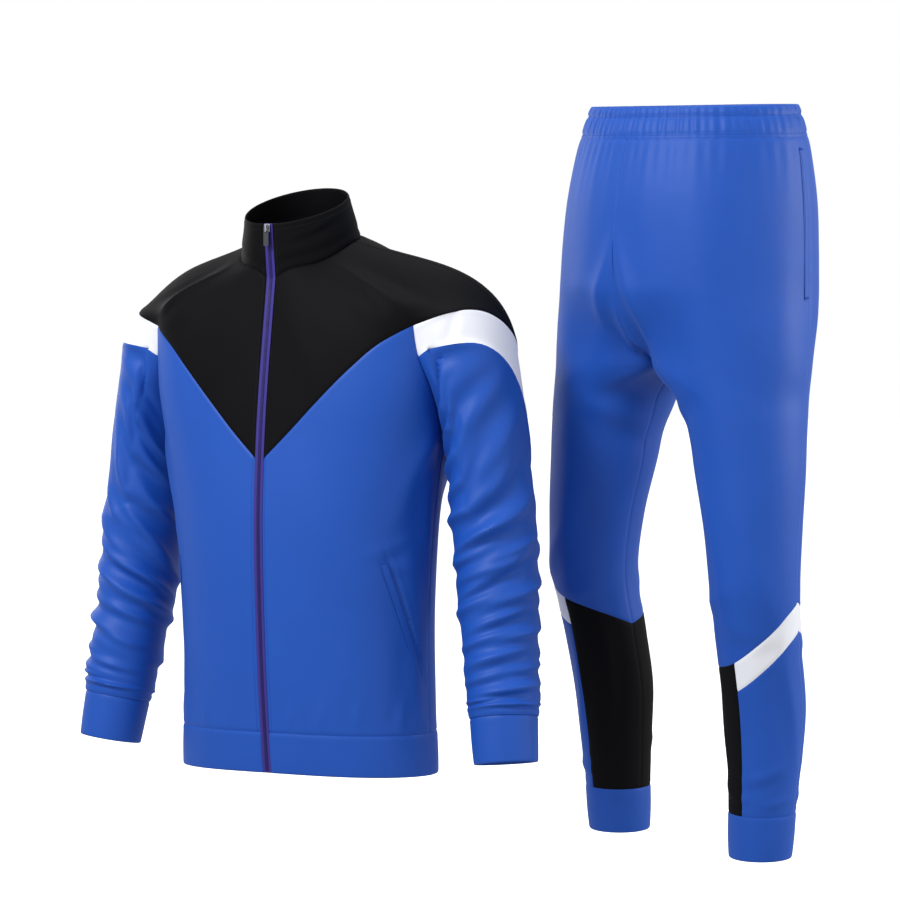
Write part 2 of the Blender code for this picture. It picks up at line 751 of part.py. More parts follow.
def build_sleeves(sleeve):
    """White bands, main sleeves and cuffs."""
    top, low = band_places(sleeve)
    places = between(top, low, np.linspace(0, 1, BAND_ROWS + 1))
    points = sleeve.point(places[..., 0], places[..., 1])
    faces = sleeve.face(places[..., 0], np.maximum(places[..., 1], 0.004))
    cap = slice(sleeve.front_count - 1, sleeve.front_count + sleeve.cap_count - 1)
    points[0] = sleeve.rows[0][cap]
    faces = kept_outward(faces, grid_faces(points))
    faces[0] = sleeve.start_face[cap]
    faces[:, 0] = sleeve.front_face[: BAND_ROWS + 1]
    faces[:, -1] = sleeve.back_face[: BAND_ROWS + 1]
    both_sides("sleeve_band", "white_knit", points, faces)

    around = np.concatenate([sleeve.around[:ARM_SEGMENTS], low[:, 0], sleeve.around[-ARM_SEGMENTS:-1]])
    start = np.concatenate([np.zeros(ARM_SEGMENTS), low[:, 1], np.zeros(ARM_SEGMENTS - 1)])
    top = np.stack([around, start], -1)
    bottom = np.stack([around, np.ones_like(around)], -1)
    places = between(top, bottom, np.linspace(0, 1, SLEEVE_ROWS + 1) ** 0.9)
    points = sleeve.point(places[..., 0], places[..., 1])
    faces = sleeve.face(places[..., 0], np.maximum(places[..., 1], 0.004))
    faces = kept_outward(faces, grid_faces(points, wrap=True))
    faces[0, : ARM_SEGMENTS + 1] = sleeve.start_face[: ARM_SEGMENTS + 1]
    faces[0, -ARM_SEGMENTS:] = sleeve.start_face[-ARM_SEGMENTS - 1 : -1]
    fade = np.clip(np.linspace(0, 1, SLEEVE_ROWS + 1) * 6, 0, 1)[:, None]
    calm = np.clip((1 - places[..., 1]) * 30, 0, 1)
    height = fold_height(places[..., 0], places[..., 1], SLEEVE_FOLDS) * fade * calm
    both_sides("sleeve", "royal_knit", points + faces * height[..., None], faces, wrap=True)

    points = sleeve_ring(CUFF_RINGS, around)
    seam = sleeve.point(around, np.ones_like(around))
    points[0] = seam - (seam - seam.mean(axis=0)) * 0.04
    points[0] += (points[1] - points[0]) * 0.02
    both_sides("cuff", "royal_knit", points, grid_faces(points, wrap=True), wall=DOUBLE_WALL, wrap=True)


def build_jacket():
    """Every cloth piece of the jacket."""
    points, faces = yoke_grid()
    split = VEE_SEGMENTS + SHOULDER_COLUMN
    both_sides("yoke_front", "black_knit", points[:, : split + 1], faces[:, : split + 1])
    wall_object("yoke_back", "black_knit", *across_centre(points[:, split:], faces[:, split:]))
    points, faces = collar_grid()
    other, other_face = mirrored(points, faces)
    points = np.concatenate([points, other[:, -2::-1]], axis=1)
    faces = np.concatenate([faces, other_face[:, -2::-1]], axis=1)
    wall_object("collar", "black_knit", points, faces, wall=DOUBLE_WALL)

    sleeve = Sleeve()
    vee, back = vee_places(), back_places()
    front_arm = armhole_places(ARMHOLE_FRONT, BAND_FRONT_SHARE)
    back_arm = armhole_places(ARMHOLE_BACK, BAND_BACK_SHARE)
    top = np.concatenate([vee, front_arm[1:]])
    bottom = np.stack([hem_angles(len(top), 0.0, 90.0), np.full(len(top), HEM_TOP)], -1)
    points, faces = body_grid(top, bottom, BODY_ROWS, hem_lift)
    faces[0, VEE_SEGMENTS:] = sleeve.front_face
    both_sides("front", "royal_knit", points, faces)

    top = np.concatenate([back_arm[::-1], back[1:]])
    bottom = np.stack([hem_angles(len(top), 90.0, 180.0), np.full(len(top), HEM_TOP)], -1)
    points, faces = body_grid(top, bottom, BODY_ROWS, hem_lift)
    faces[0, : len(back_arm)] = sleeve.back_face[::-1]
    wall_object("back", "royal_knit", *across_centre(points, faces))
    build_sleeves(sleeve)

    angles = np.concatenate([hem_angles(13, 0.0, 90.0), hem_angles(13, 90.0, 180.0)[1:]])
    top = np.stack([angles, np.full(len(angles), HEM_TOP)], -1)
    bottom = np.stack([angles, np.full(len(angles), HEM_BOTTOM)], -1)
    points, faces = body_grid(top, bottom, HEM_ROWS, hem_lift)
    wall_object("hem_band", "royal_knit", *across_centre(points, faces), wall=DOUBLE_WALL)
    build_welts()
    build_zip()


def centre_profile():
    """Line down the centre front through the seam rows of every piece, with its facing."""
    collar = collar_grid()[0][:, 0]
    yoke = yoke_grid()[0][1:, 0]
    shares = np.linspace(0, 1, BODY_ROWS + 1)[1:]
    body = np.stack([np.zeros(BODY_ROWS), VEE_LINE[0][1] + (HEM_TOP - VEE_LINE[0][1]) * shares], -1)
    hem = np.array([[0.0, (HEM_TOP + HEM_BOTTOM) / 2], [0.0, HEM_BOTTOM]])
    places = np.concatenate([body, hem])
    low = body_point(*places.T)
    low[:, 2] += hem_lift(places)
    points = np.concatenate([collar, yoke, low])
    run = np.gradient(points[:, 1:], axis=0)
    faces = unit(np.stack([0 * run[:, 0], run[:, 1], -run[:, 0]], -1))
    return points, faces


def zip_strip(name, finish, near, far, wall, rise):
    """One strip of the zip between two distances from the centre."""
    points, faces = centre_profile()
    grid = np.repeat(points[:, None], 2, axis=1)
    grid[:, 0, 0], grid[:, 1, 0] = near, far
    grid[0] += unit(grid[1] - grid[0]) * SEAM_GAP / 2
    grid[-1] += unit(grid[-2] - grid[-1]) * SEAM_GAP / 2
    facing = np.repeat(faces[:, None], 2, axis=1)
    wall_object(name, finish, grid, facing, wall=wall, rise=rise, edges=False)


def build_zip():
    """Closed zip: two tapes, the chain between them, the slider and its pull tab."""
    zip_strip("zip_tape_left", "indigo_tape", TAPE_FROM, TAPE_TO, TAPE_WALL, 0.0)
    zip_strip("zip_tape_right", "indigo_tape", -TAPE_TO, -TAPE_FROM, TAPE_WALL, 0.0)
    zip_strip("zip_chain", "indigo_tape", -CHAIN_HALF, CHAIN_HALF, CHAIN_WALL, CHAIN_RISE)
    points, _ = centre_profile()
    middle = SLIDER_TOP - SLIDER_SIZE[2] / 2
    surface = float(np.interp(-middle, -points[:, 2], points[:, 1]))
    centre = np.array([0.0, surface - SLIDER_OFF, middle])
    body = block("zip_slider", SLIDER_SIZE, centre, "bright_metal", 0.7)
    front = centre[1] - SLIDER_SIZE[1] / 2
    bridge_at = np.array([0.0, front - BRIDGE_SIZE[1] / 2 + 0.5, middle])
    bridge = block("bridge_block", BRIDGE_SIZE, bridge_at, "bright_metal", 0.3)
    gap = (
        BRIDGE_SIZE[0] * 2,
        BRIDGE_SIZE[1] - BRIDGE_BAR - 0.5,
        BRIDGE_SIZE[2] - 2 * BRIDGE_BAR,
    )
    gap_at = np.array([0.0, front - gap[1] / 2, middle])
    hole = block("bridge_gap", gap, gap_at, "bright_metal", 0.0)
    join_by(bridge, hole, "DIFFERENCE")
    join_by(body, bridge, "UNION")
    axis = np.array([0.0, front - PULL_AXIS_OFF, middle + 2.2])
    build_pull(axis)


def block(name, size, centre, finish, bevel):
    """Bevelled block in millimetres, as an object of the collection."""
    bpy.ops.mesh.primitive_cube_add(size=1.0, location=(0, 0, 0))
    obj = bpy.context.object
    obj.name = name
    for other in list(obj.users_collection):
        other.objects.unlink(obj)
    collection.objects.link(obj)
    obj.data.transform(Matrix.Diagonal((*[value * MM for value in size], 1.0)))
    obj.location = [value * MM for value in centre]
    obj.data.materials.append(material(finish, 0.3, 1.0))
    if bevel:
        edge = obj.modifiers.new("edge", "BEVEL")
        edge.width = bevel * MM
        edge.segments = 2
    return obj


def join_by(obj, other, operation):
    """Join another object to this one, or cut it out, and keep the other out of sight."""
    cut = obj.modifiers.new(other.name, "BOOLEAN")
    cut.operation = operation
    cut.solver = "EXACT"
    cut.object = other
    other.hide_render = True
    other.display_type = "WIRE"
    collection.objects.unlink(other)
    helpers = bpy.data.collections.get("helpers") or bpy.data.collections.new("helpers")
    if helpers.name not in bpy.context.scene.collection.children:
        bpy.context.scene.collection.children.link(helpers)
    helpers.objects.link(other)


def outline(curve, points):
    """Closed straight-sided line of a flat curve, from points in millimetres."""
    line = curve.splines.new("POLY")
    line.points.add(len(points) - 1)
    for place, (x, y) in zip(line.points, points):
        place.co = (x * MM, y * MM, 0.0, 1.0)
    line.use_cyclic_u = True


def build_pull(axis):
    """Pull tab hanging from the slider's bridge, a flat plate with a slot for the bridge."""
    curve = bpy.data.curves.new("zip_pull", "CURVE")
    curve.dimensions = "2D"
    curve.fill_mode = "BOTH"
    curve.extrude = PULL_WALL / 2 * MM
    half, round_at = PULL_WIDTH / 2, 1.4
    low = PULL_HEAD - PULL_LENGTH
    corners = (
        (half - round_at, PULL_HEAD - round_at, 0),
        (-half + round_at, PULL_HEAD - round_at, 90),
        (-half + round_at, low + round_at, 180),
        (half - round_at, low + round_at, 270),
    )
    edge = []
    for x, y, start in corners:
        for turn in np.radians(start + np.linspace(0, 90, 4)):
            edge.append((x + round_at * math.cos(turn), y + round_at * math.sin(turn)))
    outline(curve, edge)
    wide, tall = PULL_SLOT
    top = -PULL_HEAD
    outline(curve, [(-wide / 2, top), (wide / 2, top), (wide / 2, top - tall), (-wide / 2, top - tall)])
    obj = bpy.data.objects.new("zip_pull", curve)
    collection.objects.link(obj)
    obj.rotation_euler = (math.pi / 2, 0, 0)
    obj.location = [value * MM for value in axis]
    curve.materials.append(material("dark_metal", 0.35, 1.0))


def build_welts():
    """Raised welt along each jacket pocket opening."""
    shares = np.linspace(0, 1, WELT_ROWS + 1)[:, None]
    line = np.array(POCKET_TOP) + (np.array(POCKET_FOOT) - np.array(POCKET_TOP)) * shares
    places = np.stack([line - np.array([WELT_TURN, 0.0]), line], axis=1)
    points = body_point(places[..., 0], places[..., 1])
    points[..., 2] += hem_lift(places)
    faces = body_face(places[..., 0], places[..., 1])
    both_sides("pocket_welt", "royal_knit", points, faces, wall=WELT_WALL, rise=WELT_RISE)


def hem_angles(count, first, last):
    """Angles of the columns where they reach the hem seam."""
    return np.linspace(first, last, count)


def leg_point(around, height):
    """Left half of the trousers by share round, front to back, and height."""
    around, height = np.broadcast_arrays(np.asarray(around, float), np.asarray(height, float))
    knots, rows = rows_of(LEG_LEVELS)
    level = np.moveaxis(smooth_curve(knots, rows, -height), -1, 0)
    share, centre, half, front, back, square, leg_x, leg_y, wide, deep, saddle, lift, leg_square = level
    share = np.clip(share, 0, 1)
    seam = np.exp(-((np.minimum(around, 1 - around) / 0.12) ** 2))
    share = seam * (1 - np.sqrt(1 - share**2)) + (1 - seam) * share**2 * (3 - 2 * share)
    turn = np.pi * around
    depth = np.where(around <= 0.5, front, back)
    reach = (
        (np.abs(np.cos(turn)) / depth) ** square + (np.abs(np.sin(turn)) / half) ** square
    ) ** (-1 / square)
    hip_x, hip_y = reach * np.sin(turn), centre - reach * np.cos(turn)
    power = np.where(np.cos(2 * turn) > 0, leg_square, 2.0)
    ring = (np.abs(np.cos(2 * turn)) ** power + np.abs(np.sin(2 * turn)) ** power) ** (-1 / power)
    ring_x = leg_x - wide * ring * np.cos(2 * turn)
    ring_y = leg_y - deep * ring * np.sin(2 * turn)
    end = np.exp(-((np.minimum(around, 1 - around) / 0.07) ** 2))
    x = hip_x * (1 - share) + ring_x * share
    y = hip_y * (1 - share) + ring_y * share
    return np.stack([np.maximum(x, 0.0), y, height + saddle * end + lift * np.cos(turn)], -1)


def leg_face(around, height):
    """Outward direction of the trousers at the same places."""
    small, step = 0.004, 1.5
    inner = np.clip(around, small, 1 - small)
    low = leg_point(inner, height - step) - leg_point(inner, height + step)
    along = leg_point(inner + small, height) - leg_point(inner - small, height)
    return unit(np.cross(low, along))


def stripe_height(side, around, drop=0.0):
    """Height of the colour line round a leg."""
    front, back = (np.asarray(table, float) for table in STRIPE_TOP[side])
    ahead = smooth_curve(front[:, 0], front[:, 1], around)
    behind = smooth_curve(back[:, 0], back[:, 1], around)
    return np.where(np.asarray(around) <= SIDE_SEAM, ahead, behind) - drop


def leg_piece(name, finish, around, top, bottom, rows, side, wall=WALL, wrap=False):
    """Part of a trouser leg between two heights, one of each per column."""
    if rows is None:
        shares = (top[0] - np.append(LEG_HEIGHTS, stripe_height(side, 0.0))) / (top[0] - stripe_height(side, 0.0))
        shares = shares[:, None]
    else:
        shares = np.linspace(0, 1, rows + 1)[:, None]
    height = top + (bottom - top) * shares
    points = leg_point(around, height)
    faces = leg_face(around, height)
    faces[:, [0, -1]] = seam_face(points[:, [0, -1]], faces[:, [0, -1]], around[[0, -1]])
    if side == "right":
        points, faces = mirrored(points, faces)
    obj = wall_object(name, finish, points, faces, wall=wall, wrap=wrap)
    return place_trousers(obj)


def seam_face(points, faces, around):
    """Facing at the centre and inside seams, where two pieces meet edge to edge."""
    made = faces.copy()
    for index, place in enumerate(around):
        if place not in (0.0, 1.0):
            continue
        run = np.gradient(points[:, index], axis=0)
        turn = 1.0 if place == 0.0 else -1.0
        hip = np.stack([0 * run[:, 0], turn * run[:, 2], -turn * run[:, 1]], -1)
        leg = faces[:, index] * np.array([1.0, 0.0, 1.0])
        at_hip = points[:, index, :1] < 0.4
        made[:, index] = unit(np.where(at_hip, hip, leg))
        fork = np.flatnonzero(at_hip)[-1:]
        if len(fork) and fork[0] < len(run) - 1:
            made[fork, index] = (0.0, 0.0, -1.0)
    return made


def place_trousers(obj):
    """Turn a trouser piece and set it beside the jacket."""
    turn = Matrix.Rotation(math.radians(TROUSERS_TURN), 4, "Z")
    axis_turn = math.radians(LEAN_AXIS_TURN)
    lean_axis = Vector((math.cos(axis_turn), math.sin(axis_turn), 0.0))
    lean = Matrix.Rotation(math.radians(TROUSERS_LEAN), 4, lean_axis)
    shift = Matrix.Translation([value * MM for value in TROUSERS_AT])
    obj.matrix_world = shift @ lean @ turn
    return obj


def build_trousers():
    """Every cloth piece of the trousers."""
    front = np.concatenate([np.linspace(0, FRONT_LINE, 5), np.linspace(FRONT_LINE, SIDE_SEAM, 6)[1:]])
    back = np.concatenate([np.linspace(SIDE_SEAM, BACK_LINE_LEG, 5), np.linspace(BACK_LINE_LEG, 1, 5)[1:]])
    parts = (
        ("leg_front", front, "royal_knit"),
        ("leg_back", back, "royal_knit"),
    )
    for side in ("left", "right"):
        for stem, around, finish in parts:
            top = np.full(len(around), WAIST_SEAM)
            bottom = stripe_height(side, around)
            leg_piece(f"{stem}_{side}", finish, around, top, bottom, None, side)
        lower = (
            ("knee_stripe_front", front[4:], 0.0, STRIPE_DEPTH, 1, "white_knit"),
            ("knee_stripe_back", back[:5], 0.0, STRIPE_DEPTH, 1, "white_knit"),
            ("shin_front", front[4:], STRIPE_DEPTH, None, 6, "royal_knit"),
            ("shin_back", back[:5], STRIPE_DEPTH, None, 6, "royal_knit"),
            ("calf_front", front[:5], 0.0, None, 7, "black_knit"),
            ("calf_back", back[4:], 0.0, None, 7, "black_knit"),
        )
        for stem, around, drop, depth, rows, finish in lower:
            top = stripe_height(side, around, drop)
            bottom = np.full(len(around), CUFF_SEAM) if depth is None else top - depth
            leg_piece(f"{stem}_{side}", finish, around, top, bottom, rows, side)
        whole = np.concatenate([front, back[1:-1]])
        top = np.full(len(whole), CUFF_SEAM)
        bottom = np.full(len(whole), CUFF_END)
        leg_piece(f"ankle_cuff_{side}", "royal_knit", whole, top, bottom, 2, side, DOUBLE_WALL, True)
        height = np.linspace(*LEG_POCKET, WELT_ROWS + 1)[:, None]
        around = SIDE_SEAM - np.array(LEG_POCKET_TURN)
        points, faces = leg_point(around, height), leg_face(around, height)
        if side == "right":
            points, faces = mirrored(points, faces)
        strip = wall_object(
            f"pocket_edge_{side}", "royal_knit", points, faces, wall=WELT_WALL, rise=WELT_RISE
        )
        place_trousers(strip)
    build_waistband(front, back)


def build_waistband(front, back):
    """Elastic waistband in a front and a back half, joined at the side seams."""
    rows = np.linspace(0, 1, 3)[:, None]
    for name, around, last in (("waistband_front", front[::-1], 0), ("waistband_back", back, -1)):
        height = WAIST_TOP + (WAIST_SEAM - WAIST_TOP) * rows
        points = leg_point(around, height)
        faces = leg_face(around, height)
        points[:, -1, 0] = 0.0
        faces[:, -1, 0] = 0.0
        obj = wall_object(name, "royal_knit", *across_centre(points, unit(faces)), wall=DOUBLE_WALL)
        place_trousers(obj)


def main():
    global collection
    clear_scene()
    collection = bpy.data.collections.new("tracksuit")
    bpy.context.scene.collection.children.link(collection)
    build_jacket()
    build_trousers()


main()
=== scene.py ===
"""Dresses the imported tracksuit: soft knit cloth on its cut pieces, sewing, zip, studio.

Lengths are millimetres and angles degrees in the tables, as a pattern cutter writes them;
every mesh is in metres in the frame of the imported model. The jacket faces -Y.
"""

import logging
import math
from dataclasses import dataclass, field
from enum import Enum

import bpy
import numpy as np
from mathutils import Matrix, Vector


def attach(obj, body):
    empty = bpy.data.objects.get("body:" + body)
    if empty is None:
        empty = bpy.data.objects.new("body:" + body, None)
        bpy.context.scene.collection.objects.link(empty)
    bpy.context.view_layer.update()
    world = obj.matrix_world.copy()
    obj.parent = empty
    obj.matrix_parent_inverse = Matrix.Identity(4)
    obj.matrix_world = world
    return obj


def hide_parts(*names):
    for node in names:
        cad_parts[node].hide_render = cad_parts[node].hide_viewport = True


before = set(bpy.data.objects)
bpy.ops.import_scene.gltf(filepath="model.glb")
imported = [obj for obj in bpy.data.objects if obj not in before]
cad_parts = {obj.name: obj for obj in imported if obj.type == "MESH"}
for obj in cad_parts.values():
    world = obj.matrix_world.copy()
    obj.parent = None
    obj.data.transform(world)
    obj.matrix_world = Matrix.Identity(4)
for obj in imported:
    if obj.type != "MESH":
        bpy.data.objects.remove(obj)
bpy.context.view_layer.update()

LOG = logging.getLogger("tracksuit")
Array = np.ndarray
MM = 0.001
FINE = 5
WALL = 1.6
DOUBLE_WALL = 2.4
ZIP_HALF = 6.5
SEED = 11
# Width of a degree round the body, where it is laid flat.
DEGREE = 2.9
# How strongly the tables of folds are drawn: on the body, as creases, and as the sleeve's form.
BODY_GAIN = 1.4
CREASE_GAIN = 1.35
FORM_GAIN = 0.9
# Beside a ridge, the cloth sinks by this share of its height.
TROUGH = 0.42
SHARP_ANGLE = math.radians(60)
# Extra rows beside the edges of a piece, in steps of its grid.
EDGE_STEPS = (0.28, 0.6)
# A folded edge is rounded over this distance, to this share of a half circle.
FOLD_REACH = 2.6
FOLD_SHARE = 0.97
# Beside a seam the cloth rises by a share of its dip: share, distance, width.
SEAM_LIFT = (0.3, 5.5, 2.6)
# Small share of a surface over which its facing is measured.
NUDGE = 0.004
# How often a form is eased.
EASE_ROUNDS = 30
# Least share of its box that the cut of a sheet may fill.
LEAST_FILL = 0.34
SKIN_NODE = "Principled BSDF"
MIRROR = np.array([-1.0, 1.0, 1.0])
# Fields of a piece: doubled and folded at the bottom, doubled and folded at the top, and a
# narrow strip folded at every edge.
DOUBLED = {"wall": DOUBLE_WALL, "seams": ("top",), "hems": ("bottom",)}
STANDING = {"wall": DOUBLE_WALL, "seams": ("bottom", "near", "far"), "hems": ("top",)}
STRIP = {"wall": 1.0, "rise": 1.5, "seams": (), "hems": ("near", "far", "top", "bottom")}


class Body(Enum):
    """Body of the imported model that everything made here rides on."""

    GARMENT = "garment"


class Side(Enum):
    """Wearer's left and right; the left half is the one that the tables describe."""

    LEFT = "left"
    RIGHT = "right"


class Knit(Enum):
    """Which colour of knit a piece is cut from."""

    ROYAL = "royal_knit"
    BLACK = "black_knit"
    WHITE = "white_knit"


# Helpers for colours, curves and grids.


def linear(code: str) -> tuple[float, float, float, float]:
    """Linear colour from an sRGB hex code.

    Args:
        code: Six hex digits with a leading hash.

    Returns:
        Red, green, blue and alpha, ready for a shader socket.
    """
    values = [int(code[at : at + 2], 16) / 255 for at in (1, 3, 5)]
    flat = [v / 12.92 if v <= 0.04045 else ((v + 0.055) / 1.055) ** 2.4 for v in values]
    return (*flat, 1.0)


def unit(vectors: Array) -> Array:
    """Vectors at length one."""
    return vectors / np.maximum(np.linalg.norm(vectors, axis=-1, keepdims=True), 1e-9)


def cubic(
    share: Array, step: Array | float, ends: tuple[Array, Array], slopes: tuple[Array, Array],
) -> Array:
    """Smooth way between two ends that leaves and reaches them at given slopes.

    Args:
        share: Share of the way.
        step: Length of the way.
        ends: Values at the start and the end.
        slopes: Slopes at the start and the end.

    Returns:
        The value at every share.
    """
    return (
        (2 * share**3 - 3 * share**2 + 1) * ends[0]
        + (share**3 - 2 * share**2 + share) * step * slopes[0] + (3 * share**2 - 2 * share**3) * ends[1]
        + (share**3 - share**2) * step * slopes[1]
    )


def knot_slopes(values: Array, steps: Array) -> Array:
    """Slopes at the rows of a table whose knots are the given steps apart."""
    rises = np.diff(values, axis=0) / steps
    slopes = np.empty_like(values)
    slopes[0], slopes[-1] = rises[0], rises[-1]
    slopes[1:-1] = (rises[1:] * steps[:-1] + rises[:-1] * steps[1:]) / (steps[1:] + steps[:-1])
    return slopes


def run_along(points: Array) -> Array:
    """Distance of every point of a line from its start."""
    return np.insert(np.cumsum(np.linalg.norm(np.diff(points, axis=0), axis=1)), 0, 0.0)


def bell(offset: Array, width: float) -> Array:
    """Soft bump of height one around an offset of zero."""
    return np.exp(-((offset / width) ** 2))


def oval(turn: Array, half: Array, depth: Array, power: Array) -> Array:
    """Radius of an oval with squared corners, by the angle from its front."""
    return (
        (np.abs(np.cos(turn)) / depth) ** power + (np.abs(np.sin(turn)) / half) ** power
    ) ** (-1 / power)


def smooth_curve(knots: Array, values: Array, at: Array) -> Array:
    """Values on a smooth curve through the rows of a table.

    Args:
        knots: Rising places of the rows.
        values: One value or one row of values per knot.
        at: Places to read.

    Returns:
        The value or row of values at every place.
    """
    knots = np.asarray(knots, float)
    values = np.asarray(values, float)
    if values.ndim == 1:
        return smooth_curve(knots, values[:, None], at)[..., 0]
    steps = np.diff(knots)[:, None]
    slopes = knot_slopes(values, steps)
    at = np.clip(np.asarray(at, float), knots[0], knots[-1])
    index = np.clip(np.searchsorted(knots, at, side="right") - 1, 0, len(knots) - 2)
    step = steps[index]
    share = (at - knots[index])[..., None] / step
    ends = values[index], values[index + 1]
    return cubic(share, step, ends, (slopes[index], slopes[index + 1]))


def rows_of(table: tuple) -> tuple[Array, Array]:
    """A table of heights, highest first, as rising knots and their rows."""
    array = np.asarray(table, float)
    return -array[:, 0], array[:, 1:]


def in_plane(vectors: Array, faces: Array) -> Array:
    """Vectors laid into the planes that face the given ways, at their own length."""
    length = np.linalg.norm(vectors, axis=-1, keepdims=True)
    flat = vectors - faces * np.sum(vectors * faces, axis=-1, keepdims=True)
    return unit(flat) * length


def grid_faces(points: Array, wrap: bool = False) -> Array:
    """Outward unit vectors of a grid whose rows go down and columns go round.

    Args:
        points: Grid of points, rows by columns by three.
        wrap: Whether the last column joins the first.

    Returns:
        One unit vector per point.
    """
    down = np.gradient(points, axis=0)
    if wrap:
        around = np.roll(points, -1, axis=1) - np.roll(points, 1, axis=1)
    else:
        around = np.gradient(points, axis=1)
    return unit(np.cross(down, around))


def kept_outward(faces: Array, reference: Array) -> Array:
    """Facings turned round wherever they point against those of a reference."""
    against = np.sum(faces * reference, axis=-1, keepdims=True) < 0
    return np.where(against, -faces, faces)


def with_neighbours(grid: Array, wrap: bool) -> Array:
    """Every place between the first and last rows, twice, plus its four neighbours."""
    near, far = np.roll(grid, 1, axis=1), np.roll(grid, -1, axis=1)
    if not wrap:
        near[:, 0], far[:, -1] = grid[:, 0], grid[:, -1]
    return grid[1:-1] * 2 + grid[:-2] + grid[2:] + near[1:-1] + far[1:-1]


def relaxed(points: Array, rounds: int = EASE_ROUNDS, wrap: bool = False) -> Array:
    """Form of a piece with its pinched places eased, edges kept.

    Args:
        points: Grid of points in millimetres.
        rounds: How often neighbours are averaged.
        wrap: Whether the last column joins the first.

    Returns:
        The eased grid.
    """
    made = points.copy()
    for _ in range(rounds):
        made[1:-1] = with_neighbours(made, wrap) / 6
        if not wrap:
            made[:, [0, -1]] = points[:, [0, -1]]
    return made


def calmed(faces: Array, rounds: int = 24, wrap: bool = False) -> Array:
    """Facings evened out over their neighbours, with the first and last rows kept.

    Args:
        faces: Grid of facings.
        rounds: How often they are averaged.
        wrap: Whether the last column joins the first.

    Returns:
        The evened grid.
    """
    made = faces.copy()
    for _ in range(rounds):
        made[1:-1] = with_neighbours(made, wrap)
        made = unit(made)
        if not wrap:
            made[:, [0, -1]] = faces[:, [0, -1]]
    return made


def between(top: Array, bottom: Array, shares: Array) -> Array:
    """Places between two edges, one row per share."""
    return top + (bottom - top) * np.asarray(shares, float)[:, None, None]


def mirrored(points: Array, faces: Array) -> tuple[Array, Array]:
    """The same grid on the other side of the body."""
    return points * MIRROR, faces * MIRROR


def joined_across(*grids: Array) -> list[Array]:
    """Grids of the left half joined to their mirror images at the last column."""
    made = []
    for grid in grids:
        other = grid.copy()
        if grid.shape[-1] == 3:
            other = other * MIRROR
        else:
            other[..., 0] = 2 * grid[:, -1:, 0] - grid[..., 0]
        made.append(np.concatenate([grid, other[:, -2::-1]], axis=1))
    return made


def flat_of(points: Array) -> Array:
    """Flat cut of a grid: run along its middle row, and run down each column."""
    steps = np.linalg.norm(np.diff(points, axis=1), axis=-1).mean(axis=0)
    round_run = np.concatenate([[0.0], np.cumsum(steps)])
    down = np.linalg.norm(np.diff(points, axis=0), axis=-1)
    down_run = np.concatenate([np.zeros((1, points.shape[1])), np.cumsum(down, axis=0)])
    return np.stack([np.broadcast_to(round_run, down_run.shape), -down_run], -1)


def fold_heights(u: Array, v: Array, table: tuple, period: float = 0.0) -> Array:
    """Height of listed folds: a soft ridge each, with a shallow trough below it.

    Args:
        u: Distance round the piece in millimetres.
        v: Distance down the piece in millimetres.
        table: Rows of u, v, half length, half width, height and turn in degrees.
        period: Length of the way round where the piece closes on itself, else 0.

    Returns:
        Height above the plain form at every place, in millimetres.
    """
    total = np.zeros(np.broadcast(u, v).shape)
    for at_u, at_v, length, width, height, turn in table:
        off_u, off_v = u - at_u, v - at_v
        if period:
            off_u = (off_u + period / 2) % period - period / 2
        cos, sin = math.cos(math.radians(turn)), math.sin(math.radians(turn))
        along = (off_u * cos + off_v * sin) / length
        across = (-off_u * sin + off_v * cos) / width + 0.35 * along**2
        reach = np.exp(-np.abs(along) ** 2.4)
        ridge = np.exp(-np.abs(across) ** 1.7)
        trough = TROUGH * bell(across - 1.75, 1.05)
        total += height * reach * (ridge - trough)
    return total


# Finishes: one material for each kind of surface.


def add_node(
    tree: bpy.types.NodeTree, kind: str, inputs: dict | None = None, links: dict | None = None,
    **settings: object,
) -> bpy.types.Node:
    """Adds one node with its settings, socket values and incoming links.

    Args:
        tree: Node tree that takes the node.
        kind: Blender's type name of the node.
        inputs: Values by socket name or index.
        links: Outgoing sockets by the name or index of the input that they reach.
        **settings: Properties of the node.

    Returns:
        The new node.
    """
    node = tree.nodes.new(kind)
    for name, value in settings.items():
        setattr(node, name, value)
    for name, value in (inputs or {}).items():
        node.inputs[name].default_value = value
    for name, socket in (links or {}).items():
        tree.links.new(socket, node.inputs[name])
    return node


def cloth_uv(tree: bpy.types.NodeTree) -> bpy.types.NodeSocket:
    """Place on the flat cut of the piece."""
    return add_node(tree, "ShaderNodeUVMap", uv_map="cloth").outputs["UV"]


def add_pattern(
    tree: bpy.types.NodeTree, kind: str, place: bpy.types.NodeSocket, inputs: dict, **settings: object
) -> bpy.types.NodeSocket:
    """Adds a noise or wave pattern.

    Args:
        tree: Node tree that takes it.
        kind: Noise or Wave.
        place: Socket of the place where the pattern is read.
        inputs: Values by socket name.
        **settings: Properties of the node.

    Returns:
        Socket of the pattern's strength.
    """
    node = add_node(tree, "ShaderNodeTex" + kind, inputs, {"Vector": place}, **settings)
    return node.outputs["Fac"]


def add_relief(
    tree: bpy.types.NodeTree, strength: float, depth_mm: float, links: dict
) -> bpy.types.NodeSocket:
    """Adds a bump of a depth in millimetres and gives its normal."""
    inputs = {"Strength": strength, "Distance": depth_mm * MM}
    return add_node(tree, "ShaderNodeBump", inputs, links).outputs["Normal"]


def blend_colours(
    tree: bpy.types.NodeTree, shader: bpy.types.Node, codes: tuple, amount: bpy.types.NodeSocket
) -> None:
    """Gives the shader a colour between two sRGB codes."""
    inputs = {6: linear(codes[0]), 7: linear(codes[1])}
    mixed = add_node(tree, "ShaderNodeMix", inputs, {0: amount}, data_type="RGBA")
    tree.links.new(mixed.outputs[2], shader.inputs["Base Color"])


